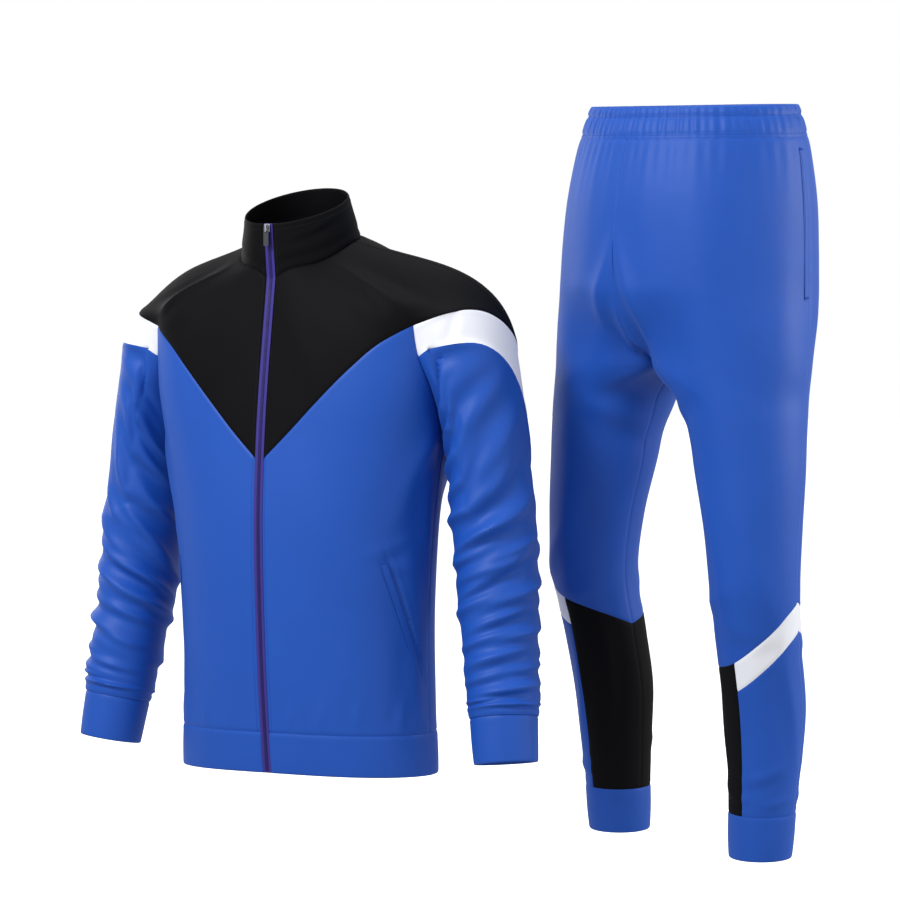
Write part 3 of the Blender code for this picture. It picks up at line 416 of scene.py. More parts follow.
@dataclass(frozen=True)
class Finish:
    """Base of every finish: a named material with one Principled shader."""

    name: str
    colour: str
    roughness: float = 0.5
    metallic: float = 0.0
    sheen: float = 0.0
    specular: float = 0.5

    def make(self) -> bpy.types.Material:
        """The material, made once.

        Returns:
            The Blender material with its node tree filled.
        """
        found = bpy.data.materials.get(self.name)
        if found:
            return found
        made = bpy.data.materials.new(self.name)
        made.use_nodes = True
        tree = made.node_tree
        shader = tree.nodes[SKIN_NODE]
        shader.inputs["Base Color"].default_value = linear(self.colour)
        shader.inputs["Roughness"].default_value = self.roughness
        shader.inputs["Metallic"].default_value = self.metallic
        shader.inputs["Specular IOR Level"].default_value = self.specular
        shader.inputs["Sheen Weight"].default_value = self.sheen
        self.dress(tree, shader)
        return made

    def dress(self, tree: bpy.types.NodeTree, shader: bpy.types.Node) -> None:
        """Adds the finish's own pattern; the base has none."""


@dataclass(frozen=True)
class TricotKnit(Finish):
    """Warp-knitted polyester tricot, lightly brushed: soft sheen, fine upright wales."""

    sheen_colour: str = "#8fb0ff"
    shade: str = "#1c3d80"
    wale_mm: float = 1.7
    relief_mm: float = 0.10

    def dress(self, tree: bpy.types.NodeTree, shader: bpy.types.Node) -> None:
        """Wales on the piece's own UV, a soft handling relief and a slightly uneven dye.

        Args:
            tree: Node tree of the material.
            shader: Its Principled shader.
        """
        shader.inputs["Sheen Tint"].default_value = linear(self.sheen_colour)
        shader.inputs["Sheen Roughness"].default_value = 0.35
        uv = cloth_uv(tree)
        # A real wale is 0.7 mm wide; it is drawn coarser here so that it shows at all.
        scale = math.pi / 10 / (self.wale_mm * MM)
        wales = add_pattern(
            tree, "Wave", uv, {"Scale": scale, "Distortion": 0.4, "Detail": 1.0}, bands_direction="X"
        )
        grain = add_pattern(tree, "Noise", uv, {"Scale": 900.0, "Detail": 2.0})
        handling = add_pattern(tree, "Noise", uv, {"Scale": 34.0, "Detail": 3.0, "Roughness": 0.45})
        fine = add_node(tree, "ShaderNodeMath", links={0: wales, 1: grain}, operation="ADD").outputs[0]
        soft = add_relief(tree, 0.30, 1.1, {"Height": handling})
        normal = add_relief(tree, 0.22, self.relief_mm, {"Height": fine, "Normal": soft})
        tree.links.new(normal, shader.inputs["Normal"])
        dye = add_pattern(tree, "Noise", uv, {"Scale": 12.0, "Detail": 4.0})
        spread = {"From Min": 0.35, "From Max": 0.8, "To Min": 0.0, "To Max": 0.16}
        amount = add_node(tree, "ShaderNodeMapRange", spread, {"Value": dye}).outputs["Result"]
        blend_colours(tree, shader, (self.colour, self.shade), amount)


@dataclass(frozen=True)
class WovenTape(Finish):
    """Woven polyester zip tape: tight diagonal twill with a lighter edge thread."""

    edge: str = "#6f63ab"
    rib_mm: float = 1.2

    def dress(self, tree: bpy.types.NodeTree, shader: bpy.types.Node) -> None:
        """Diagonal ribs across the tape, raised and slightly lighter.

        Args:
            tree: Node tree of the material.
            shader: Its Principled shader.
        """
        scale = math.pi / 10 / (self.rib_mm * MM)
        ribs = add_pattern(
            tree, "Wave", cloth_uv(tree), {"Scale": scale, "Distortion": 0.3},
            bands_direction="DIAGONAL",
        )
        tree.links.new(add_relief(tree, 0.4, 0.15, {"Height": ribs}), shader.inputs["Normal"])
        blend_colours(tree, shader, (self.colour, self.edge), ribs)


@dataclass(frozen=True)
class WornMetal(Finish):
    """Die-cast zinc, plated and tumbled: bright with very fine wear in its gloss."""

    wear_mm: float = 1.5

    def dress(self, tree: bpy.types.NodeTree, shader: bpy.types.Node) -> None:
        """Gloss that varies a little over the part.

        Args:
            tree: Node tree of the material.
            shader: Its Principled shader.
        """
        place = add_node(tree, "ShaderNodeTexCoord").outputs["Object"]
        wear = add_pattern(tree, "Noise", place, {"Scale": 1 / (self.wear_mm * MM), "Detail": 3.0})
        spread = {"To Min": self.roughness * 0.8, "To Max": self.roughness * 1.25}
        gloss = add_node(tree, "ShaderNodeMapRange", spread, {"Value": wear})
        tree.links.new(gloss.outputs["Result"], shader.inputs["Roughness"])


KNITS = {
    Knit.ROYAL: TricotKnit(
        "tricot_royal_brushed", "#174fb0", 0.54, sheen=0.13, specular=0.3, shade="#12408f"
    ),
    Knit.BLACK: TricotKnit(
        "tricot_black_brushed",
        "#0a0a0d",
        0.66,
        sheen=0.0,
        specular=0.08,
        sheen_colour="#9aa0b4",
        shade="#070708",
    ),
    Knit.WHITE: TricotKnit(
        "tricot_white_brushed",
        "#e9ebf2",
        0.6,
        sheen=0.12,
        specular=0.3,
        sheen_colour="#ffffff",
        shade="#d4d8e4",
    ),
}
TAPE = WovenTape("woven_zip_tape_indigo", "#2a2276", 0.6, specular=0.25, edge="#453a92")
# Moulded nylon teeth: slightly glossier than the tape that they sit on.
TEETH = Finish("moulded_nylon_teeth_indigo", "#241d66", 0.42, specular=0.4)
PLATED = WornMetal("zinc_slider_plated", "#c9ccd2", 0.24, 1.0)
# Stoved grey enamel over die-cast zinc: smooth, with a soft highlight.
ENAMEL = WornMetal("zinc_pull_dark_enamel", "#55565d", 0.34, 0.8)
# Spun polyester sewing thread, matt.
THREADS = {
    Knit.ROYAL: Finish("sewing_thread_royal", "#1b4fb2", 0.7, specular=0.2),
    Knit.BLACK: Finish("sewing_thread_black", "#1b1c20", 0.7, specular=0.2),
}


# A cut piece of cloth.


def new_object(name: str, data: object) -> bpy.types.Object:
    """Object in the scene with the given mesh, lamp or camera."""
    made = bpy.data.objects.new(name, data)
    bpy.context.scene.collection.objects.link(made)
    return made


@dataclass
class Cloth:
    """One cut piece of cloth: a grid on its form, its folds, seams and folded edges."""

    node: str
    knit: Knit
    points: Array
    faces: Array
    flat: Array
    wall: float = WALL
    wrap: bool = False
    seams: tuple[str, ...] = ("top", "bottom", "near", "far")
    hems: tuple[str, ...] = ()
    rise: float = 0.0
    heights: Array | None = None
    seam_dip: float = 0.8
    seam_reach: float = 2.0
    is_sheet: bool = True
    outer: Array | None = field(default=None, init=False)

    def build(self) -> bpy.types.Object:
        """Makes the wall and its material, and logs the size of a sheet's cut.

        Returns:
            The finished piece.
        """
        if self.heights is None:
            self.heights = np.zeros(self.points.shape[:2])
        self._refine()
        middle = self.points + self.faces * (self.heights + self._seam_height())[..., None]
        half = self._half_wall()[..., None]
        outer = middle + self.faces * (half + self.rise)
        self.outer = outer
        inner = middle + self.faces * (self.rise - half)
        mesh = self._mesh(outer, inner)
        obj = new_object("cloth_" + self.node, mesh)
        mesh.materials.append(KNITS[self.knit].make())
        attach(obj, Body.GARMENT.value)
        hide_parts(self.node)
        if self.is_sheet:
            self._declare(obj, middle)
        return obj

    def sewn(self, edge: str, distance: float, proud: float = 0.12) -> Array:
        """Line on the outer skin at a distance from one edge.

        Args:
            edge: Edge that the line follows.
            distance: Distance from it in millimetres.
            proud: How far the line stands off the skin.

        Returns:
            Points of the line in millimetres.
        """
        grid, away = self.outer + self.faces * proud, self._reach(edge)
        if edge in ("near", "far"):
            grid, away = grid.swapaxes(0, 1), away.T
        if edge in ("bottom", "far"):
            grid, away = grid[::-1], away[::-1]
        return np.array(
            [
                [np.interp(distance, away[:, at], grid[:, at, axis]) for axis in range(3)]
                for at in range(grid.shape[1])
            ]
        )

    def _refine(self) -> None:
        """Adds rows and columns close to the edges, so that seams and hems stay crisp."""
        grids = [self.points, self.faces, self.flat, self.heights[..., None]]
        for axis in (0, 1):
            if axis == 1 and self.wrap:
                continue
            last = grids[0].shape[axis] - 1
            places = np.unique(
                np.concatenate([EDGE_STEPS, np.arange(last + 1), last - np.array(EDGE_STEPS)])
            )
            low = np.clip(np.floor(places).astype(int), 0, last - 1)
            shape = [1, 1, 1]
            shape[axis] = len(places)
            share = (places - low).reshape(shape)
            grids = [
                grid.take(low, axis) * (1 - share) + grid.take(low + 1, axis) * share for grid in grids
            ]
        self.points, self.faces, self.flat, heights = grids
        self.faces = unit(self.faces)
        self.heights = heights[..., 0]

    def _reach(self, edge: str) -> Array:
        """Distance of every place from one edge, in millimetres."""
        axis = 0 if edge in ("top", "bottom") else 1
        steps = np.linalg.norm(np.diff(self.points, axis=axis), axis=-1)
        run = np.insert(np.cumsum(steps, axis=axis), 0, 0.0, axis=axis)
        if edge in ("bottom", "far"):
            run = run.take([-1], axis) - run
        return run

    def _edges(self, names: tuple[str, ...]) -> list[Array]:
        """Distances from the named edges, leaving out sides that close on themselves."""
        return [self._reach(name) for name in names if not (self.wrap and name in ("near", "far"))]

    def _seam_height(self) -> Array:
        """Seams sink the cloth and lift it a little beside them."""
        total = np.zeros(self.points.shape[:2])
        lift, distance, width = SEAM_LIFT
        for away in self._edges(self.seams):
            total -= self.seam_dip * bell(away, self.seam_reach)
            total += lift * self.seam_dip * bell(away - distance, width)
        return total

    def _half_wall(self) -> Array:
        """Half the cloth's thickness, rounded off along folded edges."""
        half = np.full(self.points.shape[:2], self.wall / 2)
        for away in self._edges(self.hems):
            share = np.clip(1 - away / FOLD_REACH, 0, FOLD_SHARE)
            half *= np.sqrt(1 - share**2)
        return half

    def _mesh(self, outer: Array, inner: Array) -> bpy.types.Mesh:
        """Closed wall between two skins, with the flat cut as its UV map.

        Args:
            outer: Grid of the outer skin in millimetres.
            inner: Grid of the inner skin.

        Returns:
            The mesh, in metres.
        """
        rows, columns = outer.shape[:2]
        index = np.arange(rows * columns).reshape(rows, columns)
        if self.wrap:
            index = np.concatenate([index, index[:, :1]], axis=1)
        back = rows * columns
        corners = np.stack([index[:-1, :-1], index[:-1, 1:], index[1:, 1:], index[1:, :-1]], -1)
        skin = corners.reshape(-1, 4)
        rims = [
            np.stack([index[0, :-1], index[0, :-1] + back, index[0, 1:] + back, index[0, 1:]], -1),
            np.stack([index[-1, 1:], index[-1, 1:] + back, index[-1, :-1] + back, index[-1, :-1]], -1),
        ]
        if not self.wrap:
            near, far = index[:, 0], index[:, -1]
            rims.append(np.stack([near[1:], near[1:] + back, near[:-1] + back, near[:-1]], -1))
            rims.append(np.stack([far[:-1], far[:-1] + back, far[1:] + back, far[1:]], -1))
        quads = np.concatenate([skin[:, ::-1], skin + back, *[rim[:, ::-1] for rim in rims]])
        verts = np.concatenate([outer.reshape(-1, 3), inner.reshape(-1, 3)]) * MM
        mesh = bpy.data.meshes.new("cloth_" + self.node)
        mesh.from_pydata(verts.tolist(), [], quads.tolist())
        if self._turned_in(mesh):
            mesh.flip_normals()
        layer = mesh.uv_layers.new(name="cloth")
        places = np.empty(len(mesh.loops), dtype=np.int32)
        mesh.loops.foreach_get("vertex_index", places)
        flat = self.flat.reshape(-1, 2)[places % back]
        layer.data.foreach_set("uv", (flat * MM).astype(np.float32).ravel())
        mesh.shade_smooth()
        mesh.set_sharp_from_angle(angle=SHARP_ANGLE)
        return mesh

    def _turned_in(self, mesh: bpy.types.Mesh) -> bool:
        """Whether the outer skin's faces point inwards."""
        count = (self.points.shape[0] - 1) * (self.points.shape[1] - (0 if self.wrap else 1))
        pick = range(0, count, max(1, count // 200))
        flat = self.faces.reshape(-1, 3)
        votes = sum(
            1 if mesh.polygons[at].normal.dot(Vector(flat[mesh.polygons[at].vertices[0]])) < 0 else -1
            for at in pick
        )
        return votes > 0

    def _declare(self, obj: bpy.types.Object, middle: Array) -> None:
        """Args:
            obj: The finished piece.
            middle: Grid of the middle of the cloth in millimetres.
        """
        grid = middle
        if self.wrap:
            grid = np.concatenate([middle, middle[:, :1]], axis=1)
        across = np.linalg.norm(np.diff(grid, axis=1), axis=-1).sum(axis=1).max()
        down = np.linalg.norm(np.diff(grid, axis=0), axis=-1).sum(axis=0).max()
        first = np.cross(grid[1:, 1:] - grid[:-1, :-1], grid[1:, :-1] - grid[:-1, 1:])
        area = np.linalg.norm(first, axis=-1).sum() / 2
        area = min(area, across * down)
        across = min(across, area / LEAST_FILL / down) if area < LEAST_FILL * across * down else across
        LOG.info(
            "%s: cut %.0f x %.0f mm, %.4f m2, %d faces", obj.name, across, down, area * MM * MM,
            len(obj.data.polygons),
        )


# The jacket.


# Levels from armhole to hem: height, half width, front, back, squareness.
BODY_LEVELS = (
    (-60, 211, 112, 118, 3.1),
    (-86, 210, 115, 122, 3.0),
    (-164, 207, 124, 126, 2.8),
    (-237, 197, 129.5, 121, 2.5),
    (-330, 183, 134.5, 112, 2.3),
    (-447, 176, 131.5, 107, 2.2),
    (-572, 177, 123, 106, 2.2),
    (-675, 181, 112, 106, 2.2),
)
# Neckline round the neck: angle, height, and how far the cloth faces out and up.
NECK_LEVELS = (
    (0, -22, 1.0, 0.15),
    (12, -14, 1.0, 0.25),
    (47, -2, 0.75, 0.75),
    (90, 24, 0.38, 0.93),
    (135, 36, 0.38, 0.93),
    (180, 41, 0.8, 0.6),
)
# Lines drawn on the body: angle from the front and height.
VEE_LINE = (
    (0.0, -257.0),
    (16.5, -220.5),
    (33.0, -178.0),
    (46.4, -139.6),
    (57.7, -107.6),
    (64.6, -93.5),
    (69.4, -85.0),
)
BACK_LINE = (
    (112.0, -150.0),
    (128.0, -166.0),
    (148.0, -179.0),
    (166.0, -185.0),
    (180.0, -186.5),
)
ARMHOLE_FRONT = (
    (69.4, -85.0),
    (71.5, -124.0),
    (78.0, -164.0),
    (84.0, -197.0),
    (92.0, -243.0),
)
ARMHOLE_BACK = (
    (112.0, -150.0),
    (107.5, -180.0),
    (103.0, -205.0),
    (97.5, -231.0),
    (92.0, -243.0),
)
# Yoke line over the sleeve head: place, then the way the cloth faces.
CAP_LINE = (
    (231, -56, -71, 0.20, -0.88, 0.43),
    (248, -30, -65, 0.50, -0.50, 0.70),
    (262, 2, -68, 0.74, -0.10, 0.66),
    (274, 34, -84, 0.88, 0.15, 0.45),
    (278, 56, -104, 0.90, 0.38, 0.22),
    (266, 79, -126, 0.60, 0.78, 0.20),
    (234, 90, -143, 0.15, 0.97, 0.15),
)
# Sleeve and cuff rings: centre, then radius to the side and ahead.
SLEEVE_RINGS = (
    (264, 15, -312, 54, 62),
    (271, 13, -378, 52, 58),
    (276, 9, -440, 50.5, 55),
    (284, 0, -502, 47, 51),
    (292, -9, -560, 46, 48),
    (296, -14, -590, 44.5, 45.5),
)
CUFF_RINGS = (
    (295, -14, -590, 42, 42),
    (299, -18, -616, 41.5, 41.5),
    (303, -22, -648, 40.5, 40.5),
)
# Depth of the white band round the sleeve head, in millimetres by share of its way.
BAND_DEPTHS = ((0.0, 38.0), (0.25, 54.0), (0.4, 74.0), (0.55, 98.0), (0.75, 102.0), (1.0, 74.0))
# The crease in each white band: u round, v down, half length, half width, height, turn.
BAND_CREASES = ((121, 16, 16, 2.8, -3.8, -50),)
# The big folds that the solids carry: share round, share down, reach, width, height, slant.
SLEEVE_FORM = (
    (0.26, 0.26, 0.15, 0.030, 4.0, -0.45), (0.34, 0.36, 0.17, 0.030, 4.5, -0.36),
    (0.26, 0.47, 0.15, 0.026, 4.0, -0.28), (0.42, 0.55, 0.15, 0.024, 4.5, -0.24),
    (0.22, 0.60, 0.14, 0.022, 4.5, -0.18), (0.40, 0.68, 0.16, 0.022, 4.5, -0.14),
    (0.24, 0.76, 0.15, 0.020, 4.5, -0.10), (0.40, 0.84, 0.17, 0.018, 5.0, -0.10),
    (0.28, 0.93, 0.18, 0.018, 4.0, -0.06), (0.72, 0.34, 0.16, 0.028, 4.0, 0.28),
    (0.80, 0.50, 0.16, 0.024, 4.5, 0.18), (0.70, 0.64, 0.16, 0.022, 4.0, 0.12),
    (0.80, 0.76, 0.16, 0.020, 4.5, 0.08), (0.72, 0.89, 0.18, 0.018, 4.0, 0.04),
)
SLEEVE_ROUND = 330.0
SLEEVE_DOWN = 390.0
CUFF_ROUND = 258.0
CUFF_DEPTH = 58.0
CUFF_ROWS = 14
# Rows at the top of the sleeve whose form is eased.
EASED_ROWS = 40
# Creases between the big folds: u round, v down, half length, half width, height, turn.
SLEEVE_CREASES = {
    Side.LEFT: (
        (90, 25, 36, 3.6, -6.0, 3), (70, 35, 36, 4.5, 4.6, 2), (112, 42, 34, 5, 4.6, -14),
        (58, 50, 38, 4.5, 5.0, -6), (110, 62, 50, 5.5, 5.8, -24), (54, 72, 38, 5, 5.2, -12),
        (134, 76, 40, 6, 4.4, -28), (76, 88, 46, 5.5, 5.6, -24), (110, 104, 56, 6.5, 6.4, -30),
        (58, 122, 36, 5.5, 4.8, -20), (138, 124, 42, 6.5, 4.8, -28), (88, 146, 50, 6, 6.0, -28),
        (144, 161, 42, 6.5, 4.8, -22), (62, 173, 36, 5.5, 5.2, -14), (112, 184, 50, 6, 5.6, -18),
        (92, 202, 48, 6, 5.8, -26), (152, 216, 42, 6, 4.6, -20), (62, 230, 38, 5.5, 4.6, -16),
        (112, 246, 48, 5.5, 5.2, -18), (156, 264, 38, 5.5, 3.8, -14), (66, 274, 38, 5, 3.6, -10),
        (110, 290, 46, 5.5, 4.0, -12), (158, 304, 38, 5, 3.6, -10), (72, 316, 40, 5, 3.4, -6),
        (122, 334, 46, 5, 3.6, -8), (62, 350, 34, 4.5, 3.0, -2), (148, 364, 42, 4.5, 3.4, -4),
        (230, 96, 44, 9, 4.4, 40), (262, 140, 42, 8, 4.4, 34), (222, 176, 40, 8, 4.0, 24),
        (276, 206, 38, 7, 3.8, 18), (236, 236, 42, 7, 3.6, 14), (284, 264, 36, 6, 3.4, 10),
        (228, 290, 42, 6, 3.4, 10), (278, 314, 38, 5, 3.2, 6), (238, 342, 42, 5, 3.2, 6),
        (282, 364, 38, 5, 2.8, 2),
    ),
    Side.RIGHT: (
        (92, 26, 34, 4, -4.4, 0), (86, 42, 40, 5, 4.6, -10), (42, 58, 36, 5, 4.4, -18),
        (84, 66, 42, 5.5, 4.8, -24), (36, 84, 38, 6, 4.6, -32), (82, 98, 44, 6.5, 5.4, -38),
        (38, 120, 40, 6, 4.8, -40), (94, 130, 38, 6.5, 4.6, -38), (48, 152, 52, 6.5, 6.0, -44),
        (98, 164, 36, 6, 4.4, -32), (26, 186, 42, 6, 4.8, -34), (76, 194, 50, 6, 6.0, -28),
        (28, 214, 40, 5.5, 4.8, -26), (82, 222, 48, 6, 5.4, -24), (124, 204, 36, 6, 3.0, -24),
        (130, 240, 40, 5.5, 3.0, -20), (24, 240, 38, 5.5, 4.4, -18), (66, 254, 40, 6, 3.8, -14),
        (116, 272, 46, 5.5, 4.0, -16), (60, 290, 34, 5, 3.2, -8), (146, 302, 42, 5.5, 3.6, -10),
        (84, 320, 44, 5, 3.6, -8), (138, 340, 44, 4.5, 3.4, -6), (72, 360, 42, 4.5, 3.2, -2),
        (236, 88, 44, 9, 4.4, 42), (270, 128, 42, 8, 4.4, 36), (226, 164, 40, 8, 4.0, 28),
        (272, 198, 40, 7, 3.8, 18), (232, 226, 42, 7, 3.6, 16), (286, 254, 36, 6, 3.4, 12),
        (236, 282, 42, 6, 3.4, 10), (282, 306, 38, 5, 3.2, 8), (230, 332, 42, 5, 3.2, 4),
        (276, 360, 40, 5, 2.8, 4),
    ),
}
# Soft drags on the fronts and the back: u is the angle laid flat, v is depth below the neck.
BODY_CREASES = {
    Side.LEFT: (
        (238, 232, 58, 15, 2.6, -66), (216, 286, 70, 18, 2.2, -72), (250, 330, 80, 14, 2.4, 86),
        (228, 420, 90, 18, 1.8, 82), (190, 372, 34, 8, 1.2, -20), (206, 398, 30, 7, 1.2, 10),
        (236, 560, 60, 14, 1.8, 84), (218.5, 464, 86, 2.5, -3.4, -112), (150, 596, 26, 8, 1.0, 88),
        (96, 600, 24, 8, 0.9, 92), (44, 598, 22, 7, 0.9, 88), (210, 598, 26, 8, 1.1, 90),
    ),
    Side.RIGHT: (
        (236, 222, 60, 14, 3.0, -60), (222, 262, 64, 13, 2.8, -64), (206, 318, 76, 16, 2.4, -72),
        (246, 392, 84, 15, 2.2, 84), (216, 470, 80, 18, 1.8, 80), (240, 560, 60, 14, 1.8, 88),
        (218.5, 464, 86, 2.5, -3.4, -112), (170, 598, 26, 8, 1.1, 90), (120, 600, 24, 8, 1.0, 86),
        (60, 598, 22, 7, 0.9, 92), (212, 596, 26, 8, 1.1, 88),
    ),
}
BACK_CREASES = (
    (300, 250, 60, 15, 2.6, 58), (744, 246, 60, 15, 2.6, -58), (340, 330, 80, 18, 2.2, 70),
    (700, 336, 80, 18, 2.2, -70), (420, 470, 90, 20, 1.8, 84), (622, 460, 90, 20, 1.8, -82),
    (522, 520, 60, 16, 1.6, 90), (330, 590, 30, 9, 1.2, 88), (400, 598, 28, 9, 1.1, 92),
    (470, 596, 28, 9, 1.2, 90), (560, 598, 28, 9, 1.1, 88), (640, 594, 28, 9, 1.2, 91),
    (712, 598, 28, 9, 1.1, 90),
)


def body_point(angle: Array, height: Array) -> Array:
    """Jacket body at an angle in degrees from the front, and a height.

    Args:
        angle: Angles round the body, 0 at the zip and 180 at the back.
        height: Heights in millimetres.

    Returns:
        Points in millimetres.
    """
    angle, height = np.broadcast_arrays(np.asarray(angle, float), np.asarray(height, float))
    knots, rows = rows_of(BODY_LEVELS)
    half, front, back, square = np.moveaxis(smooth_curve(knots, rows, -height), -1, 0)
    turn = np.radians(angle)
    ahead = np.cos(turn) >= 0
    depth = np.where(ahead, front, back)
    start = np.where(ahead, ZIP_HALF, 0.0)
    reach = oval(turn, half - start, depth, square)
    return np.stack([start + reach * np.sin(turn), -reach * np.cos(turn), height], -1)


def body_face(angle: Array, height: Array) -> Array:
    """Outward direction of the jacket body at the same places."""
    inner = np.clip(angle, 0.6, 179.4)
    along = body_point(inner + 0.5, height) - body_point(inner - 0.5, height)
    down = body_point(inner, height + 1.0) - body_point(inner, height - 1.0)
    faces = -unit(np.cross(down, along))
    centre = (np.asarray(angle) < 0.6) | (np.asarray(angle) > 179.4)
    faces[..., 0] = np.where(centre, 0.0, faces[..., 0])
    return unit(faces)


def along_table(table: tuple, shares: Array) -> Array:
    """Places along a two-column line drawn on the body, at shares of its length."""
    array = np.asarray(table, float)
    points = body_point(array[:, 0], array[:, 1])
    run = run_along(points)
    return smooth_curve(run, array, np.asarray(shares, float) * run[-1])


@dataclass
class Jacket:
    """Zipped jacket: fronts, back, yoke, collar, hem band, banded sleeves and cuffs."""

    vee: int = 6 * FINE
    back: int = 6 * FINE
    cap: int = 10 * FINE
    band_rows: int = 2 * FINE
    arm: int = 4 * FINE
    yoke_rows: int = 8 * FINE
    body_rows: int = 76
    sleeve_rows: int = 132
    shoulder: int = 5 * FINE
    band_front: float = 0.23
    band_back: float = 0.42
    neck_centre: float = -22.6
    neck_half: tuple[float, float] = (78.0, 77.4)
    collar_top: tuple[float, float, float] = (0.0, -33.0, 73.4)
    collar_half: tuple[float, float] = (64.4, 79.3)
    collar_tilt: float = 19.0
    hem_top: float = -618.0
    hem_bottom: float = -673.0
    hem_lift: float = 5.0
    fullness: float = 1.3
    # Rows of the sleeves draw together towards the cuffs by this power.
    row_power: float = 0.95
    # How far the cuff's first ring is drawn in, and how far the cuff swells.
    cuff_tuck: float = 0.04
    cuff_swell: float = 0.7
    # Pocket opening: angle and height of its top, its run, and the width of its welt.
    pocket_top: tuple[float, float] = (63.6, -389.0)
    pocket_run: tuple[float, float] = (21.2, -150.0)
    welt_width: float = 3.6
    pieces: dict[str, Cloth] = field(default_factory=dict)

    def add(self, stem: str, side: Side | None, knit: Knit, **grid: object) -> None:
        """Keeps one cut piece under its node's name.

        Args:
            stem: Name of the piece without its side.
            side: Side of the body, or None for a piece across the centre.
            knit: Colour that it is cut from.
            **grid: Fields of Cloth.
        """
        name = stem if side is None else f"{stem}_{side.value}"
        if side is Side.RIGHT:
            grid["points"], grid["faces"] = mirrored(grid["points"], grid["faces"])
            grid["flat"] = grid["flat"] * MIRROR[:2]
        self.pieces[name] = Cloth(name, knit, **grid)

    def lift(self, places: Array) -> Array:
        """How far the lower body rises towards the centre front."""
        low = np.clip((places[..., 1] + 450) / (self.hem_bottom + 450), 0, 1)
        return self.hem_lift * low * np.clip(np.cos(np.radians(places[..., 0])), 0, 1)

    def armhole(self, table: tuple, share: float) -> Array:
        """Places down an armhole seam, through the band's corner, to the underarm."""
        upper = np.linspace(0, share, self.band_rows + 1)
        lower = np.linspace(share, 1, self.arm + 1)
        return along_table(table, np.concatenate([upper, lower[1:]]))

    def neck(self) -> tuple[Array, Array, Array]:
        """Angles, points and facings along the neckline, front centre to back centre."""
        count = self.vee + self.cap + self.back + 1
        angles = smooth_curve(
            np.array([0, self.vee, self.vee + self.shoulder, self.vee + self.cap, count - 1]),
            np.array([0, 56, 92, 128, 180]), np.arange(count),
        )
        table = np.asarray(NECK_LEVELS, float)
        height, out, up = np.moveaxis(smooth_curve(table[:, 0], table[:, 1:], angles), -1, 0)
        turn = np.radians(angles)
        start = ZIP_HALF * (1 - np.clip(angles / 90, 0, 1))
        points = np.stack(
            [
                start + (self.neck_half[0] - start) * np.sin(turn),
                self.neck_centre - self.neck_half[1] * np.cos(turn), height,
            ],
            -1,
        )
        return angles, points, unit(np.stack([out * np.sin(turn), -out * np.cos(turn), up], -1))

    def cap_edge(self) -> tuple[Array, Array]:
        """Yoke line over the sleeve head and its facing, front to back armhole."""
        front = np.array([VEE_LINE[-1]], float)
        back = np.array([BACK_LINE[0]], float)
        table = np.asarray(CAP_LINE, float)
        points = np.concatenate([body_point(*front.T), table[:, :3], body_point(*back.T)])
        faces = np.concatenate([body_face(*front.T), unit(table[:, 3:]), body_face(*back.T)])
        run = run_along(points)
        shares = np.linspace(0, run[-1], self.cap + 1)
        return smooth_curve(run, points, shares), unit(smooth_curve(run, faces, shares))

    def yoke_grid(self) -> tuple[Array, Array]:
        """Black yoke of one side, neckline to yoke line, with its facing."""
        _, neck, neck_face = self.neck()
        vee = along_table(VEE_LINE, np.linspace(0, 1, self.vee + 1))
        back = along_table(BACK_LINE, np.linspace(0, 1, self.back + 1))
        cap, cap_face = self.cap_edge()
        edge = np.concatenate([body_point(*vee.T), cap[1:-1], body_point(*back.T)])
        edge_face = np.concatenate([body_face(*vee.T), cap_face[1:-1], body_face(*back.T)])
        full = np.ones((len(neck), 1))
        full[self.vee : self.vee + self.cap + 1] = self.fullness
        slope = in_plane(edge - neck, edge_face) * full
        start = in_plane(edge - neck, neck_face)
        share = np.linspace(0, 1, self.yoke_rows + 1)[:, None, None]
        points = cubic(share, 1.0, (neck, edge), (start, slope))
        points[:, 0, 0] = ZIP_HALF
        points[:, -1, 0] = 0.0
        faces = grid_faces(points)
        faces[0], faces[-1] = unit(neck_face + self.collar_grid()[1][-1]), edge_face
        faces[:, [0, -1], 0] = 0.0
        return points, unit(faces)

    def collar_grid(self) -> tuple[Array, Array]:
        """Standing collar of one side, top edge to neckline, with its facing."""
        angles, neck, _ = self.neck()
        turn = np.radians(angles)
        start = ZIP_HALF * (1 - np.clip(angles / 90, 0, 1))
        forward = -self.collar_half[1] * np.cos(turn)
        tilt = math.radians(self.collar_tilt)
        top = np.stack(
            [
                start + (self.collar_half[0] - start) * np.sin(turn),
                self.collar_top[1] + forward * math.cos(tilt),
                self.collar_top[2] + forward * math.sin(tilt),
            ],
            -1,
        )
        points = between(top, neck, np.linspace(0, 1, 3 * FINE + 1))
        points[:, -1, 0] = 0.0
        faces = grid_faces(points)
        faces[:, [0, -1], 0] = 0.0
        return points, unit(faces)

    def cut_yoke(self) -> None:
        """Front yokes with their point at the zip, and the back yoke."""
        points, faces = self.yoke_grid()
        flat = flat_of(points)
        split = self.vee + self.shoulder
        for side in Side:
            self.add(
                "yoke_front", side, Knit.BLACK, points=points[:, : split + 1],
                faces=faces[:, : split + 1], flat=flat[:, : split + 1],
                heights=self._yoke_drape(points[:, : split + 1], side),
            )
        grids = joined_across(points[:, split:], faces[:, split:], flat[:, split:])
        self.add("yoke_back", None, Knit.BLACK, points=grids[0], faces=grids[1], flat=grids[2])

